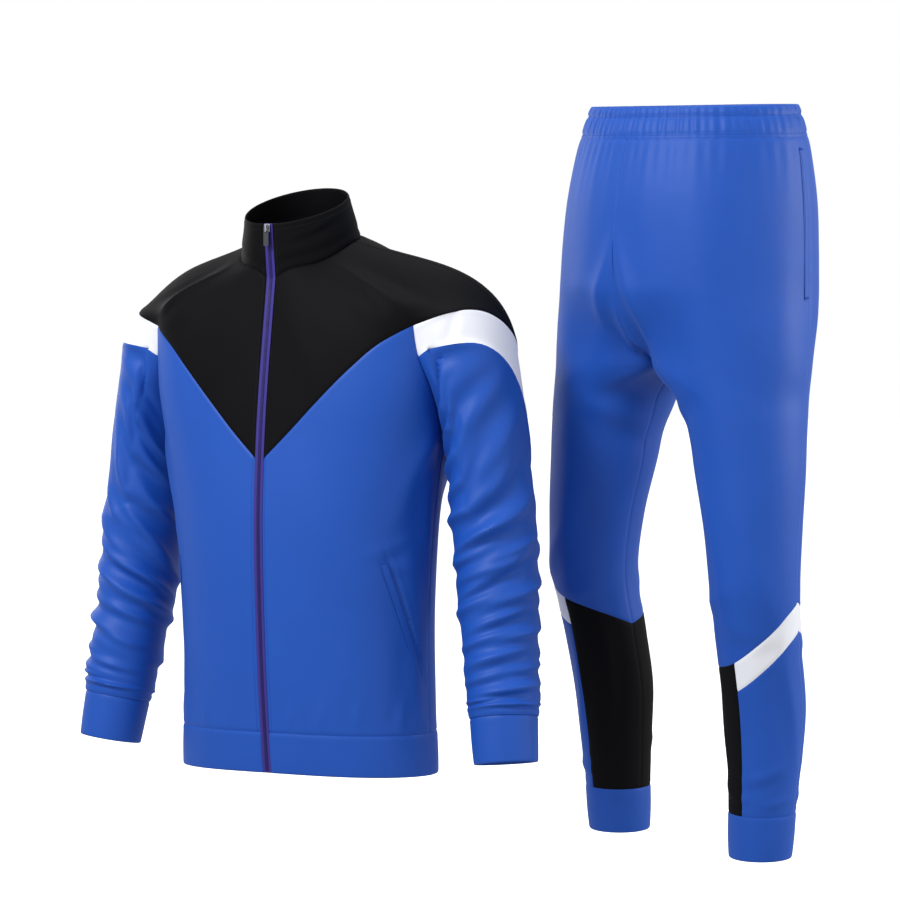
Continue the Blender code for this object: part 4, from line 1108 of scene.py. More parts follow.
    def _yoke_drape(self, points: Array, side: Side) -> Array:
        """Soft drags from the collar towards the shoulder and the armhole."""
        u, v = points[..., 0], -points[..., 2]
        table = (
            (96, 34, 60, 12, 1.4, 30 if side is Side.LEFT else 22), (150, 70, 60, 14, 1.6, 34),
            (190, 96, 40, 10, 1.2, 60), (60, 120, 70, 16, 1.2, 62 if side is Side.LEFT else 70),
        )
        fade = np.clip(np.linspace(0, 1, points.shape[0]) * 5, 0, 1)
        fade = np.minimum(fade, fade[::-1])[:, None]
        return fold_heights(u, v, table) * fade

    def cut_collar(self) -> None:
        """Standing collar, doubled and folded at the top, soft crease above its seam."""
        points, faces = self.collar_grid()
        faces[-1] = unit(faces[-1] + self.neck()[2])
        faces[-1, [0, -1], 0] = 0.0
        points, faces, flat = joined_across(points, unit(faces), flat_of(points))
        down = np.linspace(0, 1, points.shape[0])[:, None]
        u = flat[..., 0]
        heights = 0.9 * bell(down - 0.62, 0.16) * (0.6 + 0.4 * np.sin(u / 31.0))
        heights -= 0.8 * bell(down - 0.80 + 0.03 * np.sin(u / 47.0), 0.07)
        heights -= 0.45 * bell(down - 0.10, 0.022)
        rising = down + 0.0022 * (np.abs(u) - 30.0)
        beside = bell(np.abs(u) - 62.0, 34.0)
        heights += 1.5 * beside * bell(rising - 0.34, 0.05)
        heights -= 1.1 * beside * bell(rising - 0.47, 0.05)
        self.add(
            "collar", None, Knit.BLACK, points=points, faces=faces, flat=flat, heights=heights,
            **STANDING,
        )

    def body_grid(self, top: Array, bottom: Array, rows: int) -> tuple:
        """Part of the body between two lines of places: points, facing and places."""
        places = between(top, bottom, np.linspace(0, 1, rows + 1))
        points = body_point(places[..., 0], places[..., 1])
        points[..., 2] += self.lift(places)
        return points, body_face(places[..., 0], places[..., 1]), places

    def cut_fronts(self, sleeve: "Sleeve") -> None:
        """Both fronts, from the yoke line and the armholes down to the hem band."""
        vee = along_table(VEE_LINE, np.linspace(0, 1, self.vee + 1))
        top = np.concatenate([vee, self.armhole(ARMHOLE_FRONT, self.band_front)[1:]])
        bottom = np.stack([np.linspace(0, 90, len(top)), np.full(len(top), self.hem_top)], -1)
        points, faces, places = self.body_grid(top, bottom, self.body_rows)
        faces[0, self.vee :] = sleeve.front_face
        u, v = places[..., 0] * DEGREE, -places[..., 1]
        fade = self._edge_fade(points.shape[0])
        for side in Side:
            heights = fold_heights(u, v, BODY_CREASES[side]) * fade * BODY_GAIN
            self.add(
                "front", side, Knit.ROYAL, points=points, faces=faces, flat=np.stack([u, -v], -1),
                heights=heights,
            )

    def cut_back(self, sleeve: "Sleeve") -> None:
        """The back, in one piece across the centre."""
        back = along_table(BACK_LINE, np.linspace(0, 1, self.back + 1))
        back_arm = self.armhole(ARMHOLE_BACK, self.band_back)
        top = np.concatenate([back_arm[::-1], back[1:]])
        bottom = np.stack([np.linspace(90, 180, len(top)), np.full(len(top), self.hem_top)], -1)
        points, faces, places = self.body_grid(top, bottom, self.body_rows)
        faces[0, : len(back_arm)] = sleeve.back_face[::-1]
        flat = places * np.array([DEGREE, 1.0])
        points, faces, flat = joined_across(points, faces, flat)
        fade = self._edge_fade(points.shape[0])
        heights = fold_heights(flat[..., 0], -flat[..., 1], BACK_CREASES) * fade * BODY_GAIN
        self.add("back", None, Knit.ROYAL, points=points, faces=faces, flat=flat, heights=heights)

    def cut_hem_band(self) -> None:
        """The hem band, doubled and folded at the bottom."""
        angles = np.linspace(0, 180, 121)
        top = np.stack([angles, np.full(len(angles), self.hem_top)], -1)
        bottom = np.stack([angles, np.full(len(angles), self.hem_bottom)], -1)
        points, faces, places = self.body_grid(top, bottom, 12)
        points, faces, flat = joined_across(points, faces, places * np.array([DEGREE, 1.0]))
        down = np.linspace(0, 1, points.shape[0])[:, None]
        heights = 0.5 * np.sin(np.pi * down) + 0.18 * np.sin(flat[..., 0] / 9.0) * (1 - down)
        self.add(
            "hem_band", None, Knit.ROYAL, points=points, faces=faces, flat=flat, wall=DOUBLE_WALL,
            seams=("top", "near", "far"), hems=("bottom",), heights=heights,
        )

    def _edge_fade(self, rows: int) -> Array:
        """Lets folds die out at the first and last rows."""
        share = np.linspace(0, 1, rows)
        return (np.clip(share * 12, 0, 1) * np.clip((1 - share) * 24, 0.35, 1))[:, None]

    def cut_bands(self, sleeve: "Sleeve") -> Array:
        """White bands over the sleeve heads.

        Args:
            sleeve: Surface that they lie on.

        Returns:
            Facings along their lower edge.
        """
        top, low = sleeve.band_places(self)
        places = between(top, low, np.linspace(0, 1, self.band_rows * 2 + 1))
        points = sleeve.point(places[..., 0], places[..., 1])
        faces = sleeve.face(places[..., 0], np.maximum(places[..., 1], NUDGE))
        cap = slice(sleeve.front_count - 1, sleeve.front_count + sleeve.cap_count - 1)
        points[0] = sleeve.rows[0][cap]
        faces = kept_outward(faces, grid_faces(points))
        faces[0] = sleeve.start_face[cap]
        share = np.linspace(0, self.band_rows, self.band_rows * 2 + 1)
        steps = np.arange(self.band_rows + 1)
        faces[:, 0] = unit(smooth_curve(steps, sleeve.front_face[: self.band_rows + 1], share))
        faces[:, -1] = unit(smooth_curve(steps, sleeve.back_face[: self.band_rows + 1], share))
        for _ in range(EASE_ROUNDS):
            faces[-1, 1:-1] = unit(faces[-1, 1:-1] * 2 + faces[-1, :-2] + faces[-1, 2:])
        edge_face = faces[-1].copy()
        points = relaxed(points)
        faces = calmed(faces)
        band_flat = places * np.array([SLEEVE_ROUND, -SLEEVE_DOWN])
        crease = fold_heights(band_flat[..., 0], -band_flat[..., 1], BAND_CREASES)
        for side in Side:
            self.add(
                "sleeve_band", side, Knit.WHITE, points=points, faces=faces, flat=band_flat,
                heights=crease,
            )
        return edge_face

    def sleeve_top(self, sleeve: "Sleeve") -> tuple[Array, Array]:
        """Top edge of the royal sleeve: shares round it and shares of its length."""
        low = sleeve.band_places(self)[1]
        ends = sleeve.around[: self.arm], sleeve.around[-self.arm : -1]
        start = np.concatenate([np.zeros(self.arm), low[:, 1], np.zeros(self.arm - 1)])
        return np.concatenate([ends[0], low[:, 0], ends[1]]), start

    def cut_sleeves(self, sleeve: "Sleeve", band_face: Array) -> None:
        """Royal sleeves, from the armhole and the white band down to the cuff.

        Args:
            sleeve: Surface that they lie on.
            band_face: Facings along the band's lower edge.
        """
        around, start = self.sleeve_top(sleeve)
        top = np.stack([around, start], -1)
        bottom = np.stack([around, np.ones_like(around)], -1)
        places = between(top, bottom, np.linspace(0, 1, self.sleeve_rows + 1) ** self.row_power)
        points = sleeve.point(places[..., 0], places[..., 1])
        faces = sleeve.face(places[..., 0], np.maximum(places[..., 1], NUDGE))
        faces = kept_outward(faces, grid_faces(points, wrap=True))
        faces[0, : self.arm + 1] = sleeve.start_face[: self.arm + 1]
        faces[0, -self.arm :] = sleeve.start_face[-self.arm - 1 : -1]
        faces[0, self.arm : self.arm + self.cap + 1] = band_face
        points[:EASED_ROWS] = relaxed(points[:EASED_ROWS], wrap=True)
        faces = calmed(faces, wrap=True)
        share = np.linspace(0, 1, self.sleeve_rows + 1)[:, None]
        fade = np.clip(share * 60, 0, 1) * np.clip((1 - share) * 22, 0.25, 1)
        form = np.zeros(points.shape[:2])
        for place, level, reach, width, height, slant in SLEEVE_FORM:
            aside = (places[..., 0] - place + 0.5) % 1 - 0.5
            off = places[..., 1] - level - slant * aside
            form += height * bell(aside, reach) * bell(off, width)
        flat = places * np.array([SLEEVE_ROUND, -SLEEVE_DOWN])
        for side in Side:
            creases = fold_heights(flat[..., 0], -flat[..., 1], SLEEVE_CREASES[side], SLEEVE_ROUND)
            self.add(
                "sleeve", side, Knit.ROYAL, points=points, faces=faces, flat=flat, wrap=True,
                heights=(form * FORM_GAIN + creases * CREASE_GAIN) * fade,
            )

    def cut_cuffs(self, sleeve: "Sleeve") -> None:
        """Cuffs at the ends of the sleeves, doubled and folded at the bottom."""
        around = self.sleeve_top(sleeve)[0]
        rings = sleeve.ring(CUFF_RINGS, around)
        seam = sleeve.point(around, np.ones_like(around))
        rings[0] = seam - (seam - seam.mean(axis=0)) * self.cuff_tuck
        down = np.linspace(0, 1, CUFF_ROWS)[:, None]
        points = smooth_curve(np.array([0.0, 0.45, 1.0]), rings.reshape(3, -1), down[:, 0])
        points = points.reshape(CUFF_ROWS, -1, 3)
        heights = self.cuff_swell * np.sin(np.pi * down) * np.ones(len(around))
        flat = np.stack(np.broadcast_arrays(around * CUFF_ROUND, -down * CUFF_DEPTH), -1)
        for side in Side:
            self.add(
                "cuff", side, Knit.ROYAL, points=points, faces=grid_faces(points, wrap=True), flat=flat,
                wrap=True, heights=heights, **DOUBLED,
            )

    def cut_welts(self) -> None:
        """Raised welt along each pocket opening."""
        shares = np.linspace(0, 1, 41)[:, None]
        line = np.array(self.pocket_top) + np.array(self.pocket_run) * shares
        across = np.linspace(self.welt_width, 0, 5)
        places = np.stack([line - np.array([turn, 0.0]) for turn in across], axis=1)
        points = body_point(places[..., 0], places[..., 1])
        points[..., 2] += self.lift(places)
        for side in Side:
            self.add(
                "pocket_welt", side, Knit.ROYAL, points=points,
                faces=body_face(places[..., 0], places[..., 1]), flat=places * np.array([DEGREE, 1.0]),
                **STRIP,
            )

    def build(self) -> None:
        """Cuts and makes every piece of the jacket."""
        sleeve = Sleeve(self)
        self.cut_yoke()
        self.cut_collar()
        self.cut_fronts(sleeve)
        self.cut_back(sleeve)
        self.cut_hem_band()
        band_face = self.cut_bands(sleeve)
        self.cut_sleeves(sleeve, band_face)
        self.cut_cuffs(sleeve)
        self.cut_welts()
        for piece in self.pieces.values():
            piece.build()


class Sleeve:
    """Surface of a sleeve, by share round it from the underarm and share of its length."""

    def __init__(self, jacket: Jacket) -> None:
        """Works out the armhole edge, the rings and how steeply the cloth leaves them.

        Args:
            jacket: Jacket whose armhole the sleeve is set into.
        """
        front = jacket.armhole(ARMHOLE_FRONT, jacket.band_front)
        back = jacket.armhole(ARMHOLE_BACK, jacket.band_back)
        cap, cap_face = jacket.cap_edge()
        start = np.concatenate([body_point(*front[::-1].T), cap[1:-1], body_point(*back.T)])
        run = run_along(start)
        self.around = run / run[-1]
        rings = self.ring(SLEEVE_RINGS, self.around)
        chord = rings[0] - start
        slope = unit(chord) + 0.6 * np.array([1.0, 0.0, 0.0])
        slope = unit(slope) * np.linalg.norm(chord, axis=-1, keepdims=True)
        count = len(front)
        middle = slice(count, count + len(cap) - 2)
        slope[middle] = in_plane(chord[middle], cap_face[1:-1]) * 0.7
        for corner, face in ((count - 1, cap_face[0]), (count + len(cap) - 2, cap_face[-1])):
            slope[corner] = in_plane(slope[corner : corner + 1], face)[0]
        self.front_count, self.cap_count = count, len(cap)
        along = np.gradient(start, axis=0)
        along[0] = along[-1] = unit(start[1] - start[-2]) * 10
        self.start_face = unit(np.cross(slope, along))
        self.start_face[middle] = cap_face[1:-1]
        arm = np.concatenate([np.arange(count), np.arange(count + len(cap) - 2, len(start))])
        body = np.concatenate([body_face(*front[::-1].T), body_face(*back.T)])
        self.start_face[arm] = unit(self.start_face[arm] + body)
        self.front_face = self.start_face[:count][::-1]
        self.back_face = self.start_face[-len(back) :]
        self.knots = np.concatenate([[0.0], np.linspace(0.28, 1.0, len(rings))])
        self.rows = np.concatenate([start[None], rings])
        steps = np.diff(self.knots)[:, None, None]
        self.slopes = knot_slopes(self.rows, steps)
        self.slopes[0] = slope / steps[0]

    def ring(self, table: tuple, around: Array) -> Array:
        """Rings of a table at the given shares round them, from the underarm."""
        array = np.asarray(table, float)
        centres = array[:, :3]
        axis = unit(np.gradient(centres, axis=0))
        side = unit(np.cross(np.array([0.0, 1.0, 0.0]), -axis))
        ahead = unit(np.cross(axis, side))
        turn = 2 * np.pi * around[None, :, None]
        return (
            centres[:, None] - side[:, None] * array[:, 3, None, None] * np.cos(turn)
            + ahead[:, None] * array[:, 4, None, None] * np.sin(turn)
        )

    def point(self, around: Array, down: Array) -> Array:
        """Points at matching shares round and shares down.

        Args:
            around: Shares round the sleeve.
            down: Shares of its length.

        Returns:
            Points in millimetres.
        """
        around, down = np.broadcast_arrays(around, down)
        rows = np.stack([smooth_curve(self.around, level, around.ravel()) for level in self.rows])
        slopes = np.stack([smooth_curve(self.around, level, around.ravel()) for level in self.slopes])
        place = np.clip(down.ravel(), 0, 1)
        index = np.clip(np.searchsorted(self.knots, place, side="right") - 1, 0, len(self.knots) - 2)
        step = np.diff(self.knots)[index][:, None]
        share = (place - self.knots[index])[:, None] / step
        each = np.arange(len(place))
        ends = rows[index, each], rows[index + 1, each]
        made = cubic(share, step, ends, (slopes[index, each], slopes[index + 1, each]))
        return made.reshape(*around.shape, 3)

    def face(self, around: Array, down: Array) -> Array:
        """Outward direction of the sleeve at the same places."""
        low, high = np.clip(down - NUDGE, 0, 1), np.clip(down + NUDGE, 0, 1)
        length = self.point(around, high) - self.point(around, low)
        turned = self.point((around + NUDGE) % 1, down) - self.point((around - NUDGE) % 1, down)
        return unit(np.cross(length, turned))

    def band_places(self, jacket: Jacket) -> tuple[Array, Array]:
        """Top and bottom edges of the white band, as places on the sleeve."""
        cap = np.arange(self.front_count - 1, self.front_count + self.cap_count - 1)
        top_around = self.around[cap]
        first, last = self.around[jacket.arm], self.around[-jacket.arm - 1]
        low_around = first + (last - first) * np.linspace(0, 1, jacket.cap + 1)
        corner_front = self.around[self.front_count - 1]
        corner_back = self.around[self.front_count + self.cap_count - 2]
        table = np.asarray(BAND_DEPTHS, float)
        shares = (low_around - corner_front) / (corner_back - corner_front)
        depth = smooth_curve(table[:, 0], table[:, 1], shares)
        front_rise = np.clip((low_around - first) / (corner_front - first), 0, 1)
        back_rise = np.clip((last - low_around) / (last - corner_back), 0, 1)
        step = self.point(low_around, np.full_like(low_around, 0.10)) - self.point(
            low_around, np.zeros_like(low_around)
        )
        depth = depth * np.minimum(front_rise, back_rise) * 0.10 / np.linalg.norm(step, axis=-1)
        return np.stack([top_around, 0 * top_around], -1), np.stack([low_around, depth], -1)


# The trousers.


# Levels of one leg: height, how far it is a leg and not yet a hip, then the hip's centre,
# half width, front, back and squareness, the leg's centre, radii, saddle, waist lift, squareness.
LEG_LEVELS = (
    (206, 0.0, -3, 152, 113, 113, 2.0, 100, -10, 99, 100, 0, -2, 2.7),
    (164, 0.0, -4, 166, 126, 126, 2.0, 100, -10, 99, 100, 0, -2, 2.7),
    (100, 0.0, -7, 177, 139, 139, 2.05, 100, -10, 99, 100, 0, -1, 2.7),
    (20, 0.0, -11, 183, 142, 145, 2.1, 98, -14, 98, 98, 0, 0, 2.7),
    (-20, 0.0, -13, 185, 141, 145, 2.1, 98, -17, 98, 98, 0, 0, 2.7),
    (-50, 0.25, -15, 187, 139, 144, 2.1, 98, -20, 98, 98, 0, 0, 2.7),
    (-80, 0.51, -17, 189, 136, 141, 2.1, 98, -22, 98, 98, 1, 0, 2.7),
    (-109, 0.75, -19, 190, 131, 137, 2.1, 98, -23, 98, 97, 4, 0, 2.7),
    (-138, 1.0, -22, 192, 124, 131, 2.1, 98, -24, 98, 96, 14, 0, 2.7),
    (-172, 1.0, -26, 190, 110, 110, 2.1, 117, -28, 79, 87, 0, 0, 2.45),
    (-198, 1.0, -26, 190, 110, 110, 2.1, 123, -31, 76, 82, 0, 0, 2.2),
    (-228, 1.0, -26, 190, 110, 110, 2.1, 129, -34, 72.5, 77, 0, 0, 2.05),
    (-263, 1.0, -30, 190, 110, 110, 2.1, 133, -36, 71, 73, 0, 0, 2.0),
    (-343, 1.0, -30, 190, 110, 110, 2.1, 143, -41, 62.5, 65, 0, 0, 2.0),
    (-423, 1.0, -30, 190, 110, 110, 2.1, 147, -41, 57, 59, 0, 0, 2.0),
    (-503, 1.0, -30, 190, 110, 110, 2.1, 142, -26, 54, 56, 0, 0, 2.0),
    (-583, 1.0, -30, 190, 110, 110, 2.1, 139, -12, 52, 54, 0, 0, 2.0),
    (-646, 1.0, -30, 190, 110, 110, 2.1, 137, -10, 48, 49, 0, 0, 2.0),
    (-700, 1.0, -30, 190, 110, 110, 2.1, 134, -10, 44, 45, 0, 0, 2.0),
    (-780, 1.0, -30, 190, 110, 110, 2.1, 130, -10, 40, 41, 0, 0, 2.0),
)
# Row heights of the upper legs, closer together where they part.
LEG_HEIGHTS = (
    164, 115, 60, 10, -25, -54, -80, -103, -123, -138, -154, -175, -205, -250, -310, -380, -450,
)
# Top edge of the knee stripe, before and behind the side seam: share round, height.
STRIPE_TOP = {
    Side.LEFT: (
        ((0.0, -530), (0.12, -524), (0.267, -512), (0.40, -478), (0.50, -448), (0.565, -434)),
        ((0.565, -434), (0.66, -450), (0.80, -495), (1.0, -530)),
    ),
    Side.RIGHT: (
        ((0.0, -490), (0.12, -472), (0.267, -454), (0.40, -438), (0.50, -426), (0.565, -420)),
        ((0.565, -420), (0.66, -432), (0.80, -468), (1.0, -490)),
    ),
}
WAIST_TOP, WAIST_SEAM, CUFF_SEAM, CUFF_END = 206.0, 164.0, -718.0, -778.0
SIDE_SEAM, FRONT_LINE, BACK_LINE_LEG = 0.565, 0.267, 0.80
LEG_ROUND = 520.0
# Gathers below the waistband: share round, length, half width, height.
GATHERS = (
    (0.03, 60, 5.5, 1.8), (0.065, 46, 5.0, 1.7), (0.10, 78, 6.5, 1.9), (0.14, 52, 5.0, 1.5),
    (0.18, 66, 6.0, 1.8), (0.215, 44, 5.0, 1.6), (0.25, 84, 6.5, 1.9), (0.29, 50, 5.0, 1.5),
    (0.33, 62, 6.0, 1.8), (0.37, 48, 5.0, 1.5), (0.41, 74, 6.0, 1.9), (0.45, 50, 5.0, 1.7),
    (0.49, 66, 5.5, 1.9), (0.53, 46, 5.0, 1.5), (0.60, 66, 6.0, 1.8), (0.64, 52, 5.0, 1.6),
    (0.685, 80, 6.5, 1.9), (0.73, 54, 5.5, 1.6), (0.775, 68, 6.0, 1.9), (0.82, 48, 5.0, 1.6),
    (0.865, 82, 6.5, 1.9), (0.91, 54, 5.5, 1.6), (0.955, 64, 6.0, 1.8),
)
# Soft folds of the legs: u is the way round laid flat, v is depth below the waist's zero.
LEG_CREASES = {
    Side.LEFT: (
        (34, 40, 110, 14, 2.6, 66), (70, 96, 90, 18, 2.4, 52), (24, 120, 60, 12, 2.4, 40),
        (52, 190, 70, 13, 2.2, -24), (150, 60, 130, 26, 1.6, 84), (230, 160, 160, 28, 1.6, 96),
        (110, 330, 120, 24, 1.8, 78), (200, 400, 90, 20, 1.6, 64), (90, 432, 50, 12, 1.6, -12),
        (160, 470, 56, 12, 1.6, 14), (250, 560, 80, 16, 1.6, 80), (60, 600, 60, 12, 1.5, 70),
        (190, 664, 50, 8, 1.5, -10), (110, 690, 46, 7, 1.5, 8), (230, 700, 40, 7, 1.4, -6),
        (340, 110, 120, 22, 2.0, 70), (430, 60, 110, 18, 2.2, 60), (470, 130, 70, 14, 2.4, -50),
        (400, 360, 90, 20, 1.8, 84), (410, 440, 60, 13, 2.4, 6), (360, 480, 60, 13, 2.0, -10),
        (450, 466, 50, 12, 1.8, 14), (400, 660, 60, 9, 1.8, 4), (350, 694, 50, 8, 1.6, -6),
    ),
    Side.RIGHT: (
        (36, 44, 110, 14, 2.6, 62), (78, 90, 90, 18, 2.2, 50), (26, 124, 60, 12, 2.4, 36),
        (60, 200, 70, 13, 2.0, -20), (160, 70, 130, 26, 1.6, 80), (120, 300, 120, 24, 1.8, 92),
        (180, 410, 80, 16, 1.8, 40), (80, 440, 60, 12, 1.8, 18), (70, 560, 80, 14, 1.6, 84),
        (150, 600, 70, 14, 1.6, 78), (96, 668, 46, 8, 1.6, 8), (180, 690, 46, 7, 1.5, -8),
        (60, 700, 40, 7, 1.4, 4), (330, 110, 120, 22, 2.0, 70), (430, 64, 110, 18, 2.2, 58),
        (470, 134, 70, 14, 2.4, -48), (400, 430, 60, 13, 2.4, 8), (350, 474, 60, 13, 2.0, -8),
        (400, 655, 60, 9, 1.8, 4), (350, 690, 50, 8, 1.6, -6),
    ),
}


def leg_point(around: Array, height: Array) -> Array:
    """Left half of the trousers.

    Args:
        around: Shares round, 0 at the centre front and 1 at the centre back.
        height: Heights in millimetres.

    Returns:
        Points in millimetres, before the trousers are set in place.
    """
    around, height = np.broadcast_arrays(np.asarray(around, float), np.asarray(height, float))
    knots, rows = rows_of(LEG_LEVELS)
    level = np.moveaxis(smooth_curve(knots, rows, -height), -1, 0)
    share, centre, half, front, back, square, leg_x, leg_y, wide, deep, saddle, lift, flat = level
    share = np.clip(share, 0, 1)
    seam = bell(np.minimum(around, 1 - around), 0.12)
    share = seam * (1 - np.sqrt(1 - share**2)) + (1 - seam) * share**2 * (3 - 2 * share)
    turn = np.pi * around
    depth = np.where(around <= 0.5, front, back)
    reach = oval(turn, half, depth, square)
    hip_x, hip_y = reach * np.sin(turn), centre - reach * np.cos(turn)
    power = np.where(np.cos(2 * turn) > 0, flat, 2.0)
    ring = oval(2 * turn, 1.0, 1.0, power)
    ring_x = leg_x - wide * ring * np.cos(2 * turn)
    ring_y = leg_y - deep * ring * np.sin(2 * turn)
    end = bell(np.minimum(around, 1 - around), 0.07)
    x = hip_x * (1 - share) + ring_x * share
    y = hip_y * (1 - share) + ring_y * share
    return np.stack([np.maximum(x, 0.0), y, height + saddle * end + lift * np.cos(turn)], -1)


def leg_face(around: Array, height: Array) -> Array:
    """Outward direction of the trousers at the same places."""
    step = 1.5
    inner = np.clip(around, NUDGE, 1 - NUDGE)
    low = leg_point(inner, height - step) - leg_point(inner, height + step)
    along = leg_point(inner + NUDGE, height) - leg_point(inner - NUDGE, height)
    return unit(np.cross(low, along))


@dataclass
class Trousers:
    """Cuffed trousers: waistband, legs, knee stripes, shins, calves, ankle cuffs."""

    place: tuple[float, float, float] = (456.0, 230.0, 0.0)
    turn: float = -20.0
    lean: float = 3.5
    lean_axis: float = 23.5
    stripe_depth: float = 38.0
    pocket: tuple[float, float] = (150.0, -45.0)
    pocket_turn: tuple[float, float] = (0.026, 0.008)
    pieces: dict[str, Cloth] = field(default_factory=dict)

    def matrix(self) -> Array:
        """Turn, lean and shift of the trousers beside the jacket, in millimetres."""
        turn = Matrix.Rotation(math.radians(self.turn), 4, "Z")
        angle = math.radians(self.lean_axis)
        axis = Vector((math.cos(angle), math.sin(angle), 0.0))
        lean = Matrix.Rotation(math.radians(self.lean), 4, axis)
        return np.array(Matrix.Translation(self.place) @ lean @ turn)

    def placed(self, points: Array, faces: Array) -> tuple[Array, Array]:
        """Points and facings set in place beside the jacket."""
        matrix = self.matrix()
        return points @ matrix[:3, :3].T + matrix[:3, 3], faces @ matrix[:3, :3].T

    def stripe(self, side: Side, around: Array, drop: float = 0.0) -> Array:
        """Height of the colour line round a leg."""
        front, back = (np.asarray(table, float) for table in STRIPE_TOP[side])
        ahead = smooth_curve(front[:, 0], front[:, 1], around)
        behind = smooth_curve(back[:, 0], back[:, 1], around)
        return np.where(np.asarray(around) <= SIDE_SEAM, ahead, behind) - drop

    def seam_face(self, points: Array, faces: Array, around: Array) -> Array:
        """Facing at the centre and inside seams, where two pieces meet edge to edge."""
        made = faces.copy()
        for index, place in ((0, around[0]), (-1, around[-1])):
            if place not in (0.0, 1.0):
                continue
            run = np.gradient(points[:, index], axis=0)
            turn = 1.0 if place == 0.0 else -1.0
            hip = np.stack([0 * run[:, 0], turn * run[:, 2], -turn * run[:, 1]], -1)
            leg = faces[:, index] * np.array([1.0, 0.0, 1.0])
            at_hip = points[:, index, :1] < 0.4
            made[:, index] = unit(np.where(at_hip, hip, leg))
            fork = np.flatnonzero(at_hip)[-1:]
            if len(fork) and fork[0] < len(run) - 1:
                made[fork, index] = (0.0, 0.0, -1.0)
        return made

    def heights_of(self, side: Side, around: Array, height: Array) -> Array:
        """Folds of a leg at places on it, and the gathers at its waist."""
        u, v = around * LEG_ROUND, -height
        total = fold_heights(u, v, LEG_CREASES[side]) * CREASE_GAIN
        shift = 0.0 if side is Side.LEFT else 0.013
        for place, length, width, rise in GATHERS:
            off = (around - place - shift) * LEG_ROUND
            down = np.clip(WAIST_SEAM - height, 0, None)
            fan = 1 + down / 90
            fade = np.exp(-((down / length) ** 1.6))
            near = (off / width / fan) ** 2
            total += rise * fade * (np.exp(-near) - TROUGH * np.exp(-near / 5))
        return total * np.clip(1 - bell(height + 145, 26) * (around > 0.9), 0.2, 1)

    def add(
        self, stem: str, side: Side, knit: Knit, around: Array, top: Array, bottom: Array,
        shares: Array, **grid: object,
    ) -> None:
        """Cuts a piece of a leg between two heights, one of each per column.

        Args:
            stem: Name of the piece without its side.
            side: Wearer's side.
            knit: Colour that it is cut from.
            around: Shares round the leg.
            top: Heights of the top edge.
            bottom: Heights of the bottom edge.
            shares: Share of the way down of every row.
            **grid: Other fields of Cloth.
        """
        height = top + (bottom - top) * shares[:, None]
        points, faces = leg_point(around, height), leg_face(around, height)
        faces = self.seam_face(points, faces, around)
        heights = grid.pop("heights", None)
        if heights is None:
            heights = self.heights_of(side, around, height)
            edge = np.clip(np.minimum(shares, 1 - shares) * len(shares) / 3, 0.35, 1)
            heights = heights * edge[:, None]
        flat = np.stack([np.broadcast_to(around * LEG_ROUND, height.shape), height], -1)
        if side is Side.RIGHT:
            points, faces = mirrored(points, faces)
            flat = flat * MIRROR[:2]
        points, faces = self.placed(points, faces)
        name = f"{stem}_{side.value}"
        self.pieces[name] = Cloth(
            name, knit, points, faces, flat, heights=heights, seam_dip=0.5, **grid
        )

    def cut_legs(self) -> None:
        """Every piece from the waist seam down to the ankle cuffs."""
        front = np.concatenate(
            [np.linspace(0, FRONT_LINE, 33), np.linspace(FRONT_LINE, SIDE_SEAM, 37)[1:]]
        )
        back = np.concatenate(
            [np.linspace(SIDE_SEAM, BACK_LINE_LEG, 29), np.linspace(BACK_LINE_LEG, 1, 29)[1:]]
        )
        for side in Side:
            end = self.stripe(side, 0.0)
            knots = (WAIST_SEAM - np.append(LEG_HEIGHTS, end)) / (WAIST_SEAM - end)
            last = len(LEG_HEIGHTS)
            shares = np.interp(np.linspace(0, last, 8 * last + 1), np.arange(last + 1), knots)
            for stem, around in (("leg_front", front), ("leg_back", back)):
                top = np.full(len(around), WAIST_SEAM)
                self.add(stem, side, Knit.ROYAL, around, top, self.stripe(side, around), shares)
            lower = (
                ("knee_stripe_front", front[32:], 0.0, self.stripe_depth, 9, Knit.WHITE),
                ("knee_stripe_back", back[:29], 0.0, self.stripe_depth, 9, Knit.WHITE),
                ("shin_front", front[32:], self.stripe_depth, None, 49, Knit.ROYAL),
                ("shin_back", back[:29], self.stripe_depth, None, 49, Knit.ROYAL),
                ("calf_front", front[:33], 0.0, None, 53, Knit.BLACK),
                ("calf_back", back[28:], 0.0, None, 53, Knit.BLACK),
            )
            for stem, around, drop, depth, rows, knit in lower:
                top = self.stripe(side, around, drop)
                bottom = np.full(len(around), CUFF_SEAM) if depth is None else top - depth
                self.add(stem, side, knit, around, top, bottom, np.linspace(0, 1, rows))
            whole = np.concatenate([front, back[1:-1]])
            down = np.linspace(0, 1, 15)
            bulge = 0.8 * np.sin(np.pi * down)[:, None] * np.ones(len(whole))
            self.add(
                "ankle_cuff", side, Knit.ROYAL, whole, np.full(len(whole), CUFF_SEAM),
                np.full(len(whole), CUFF_END), down, wrap=True, heights=bulge, **DOUBLED,
            )
            self.cut_pocket_edge(side)

    def cut_pocket_edge(self, side: Side) -> None:
        """Folded edge of the side-seam pocket opening."""
        height = np.linspace(*self.pocket, 51)[:, None]
        around = SIDE_SEAM - np.linspace(*self.pocket_turn, 5)
        points, faces = leg_point(around, height), leg_face(around, height)
        flat = np.stack(np.broadcast_arrays(around * LEG_ROUND, height), -1)
        if side is Side.RIGHT:
            points, faces = mirrored(points, faces)
        points, faces = self.placed(points, faces)
        name = f"pocket_edge_{side.value}"
        self.pieces[name] = Cloth(name, Knit.ROYAL, points, faces, flat, **STRIP)

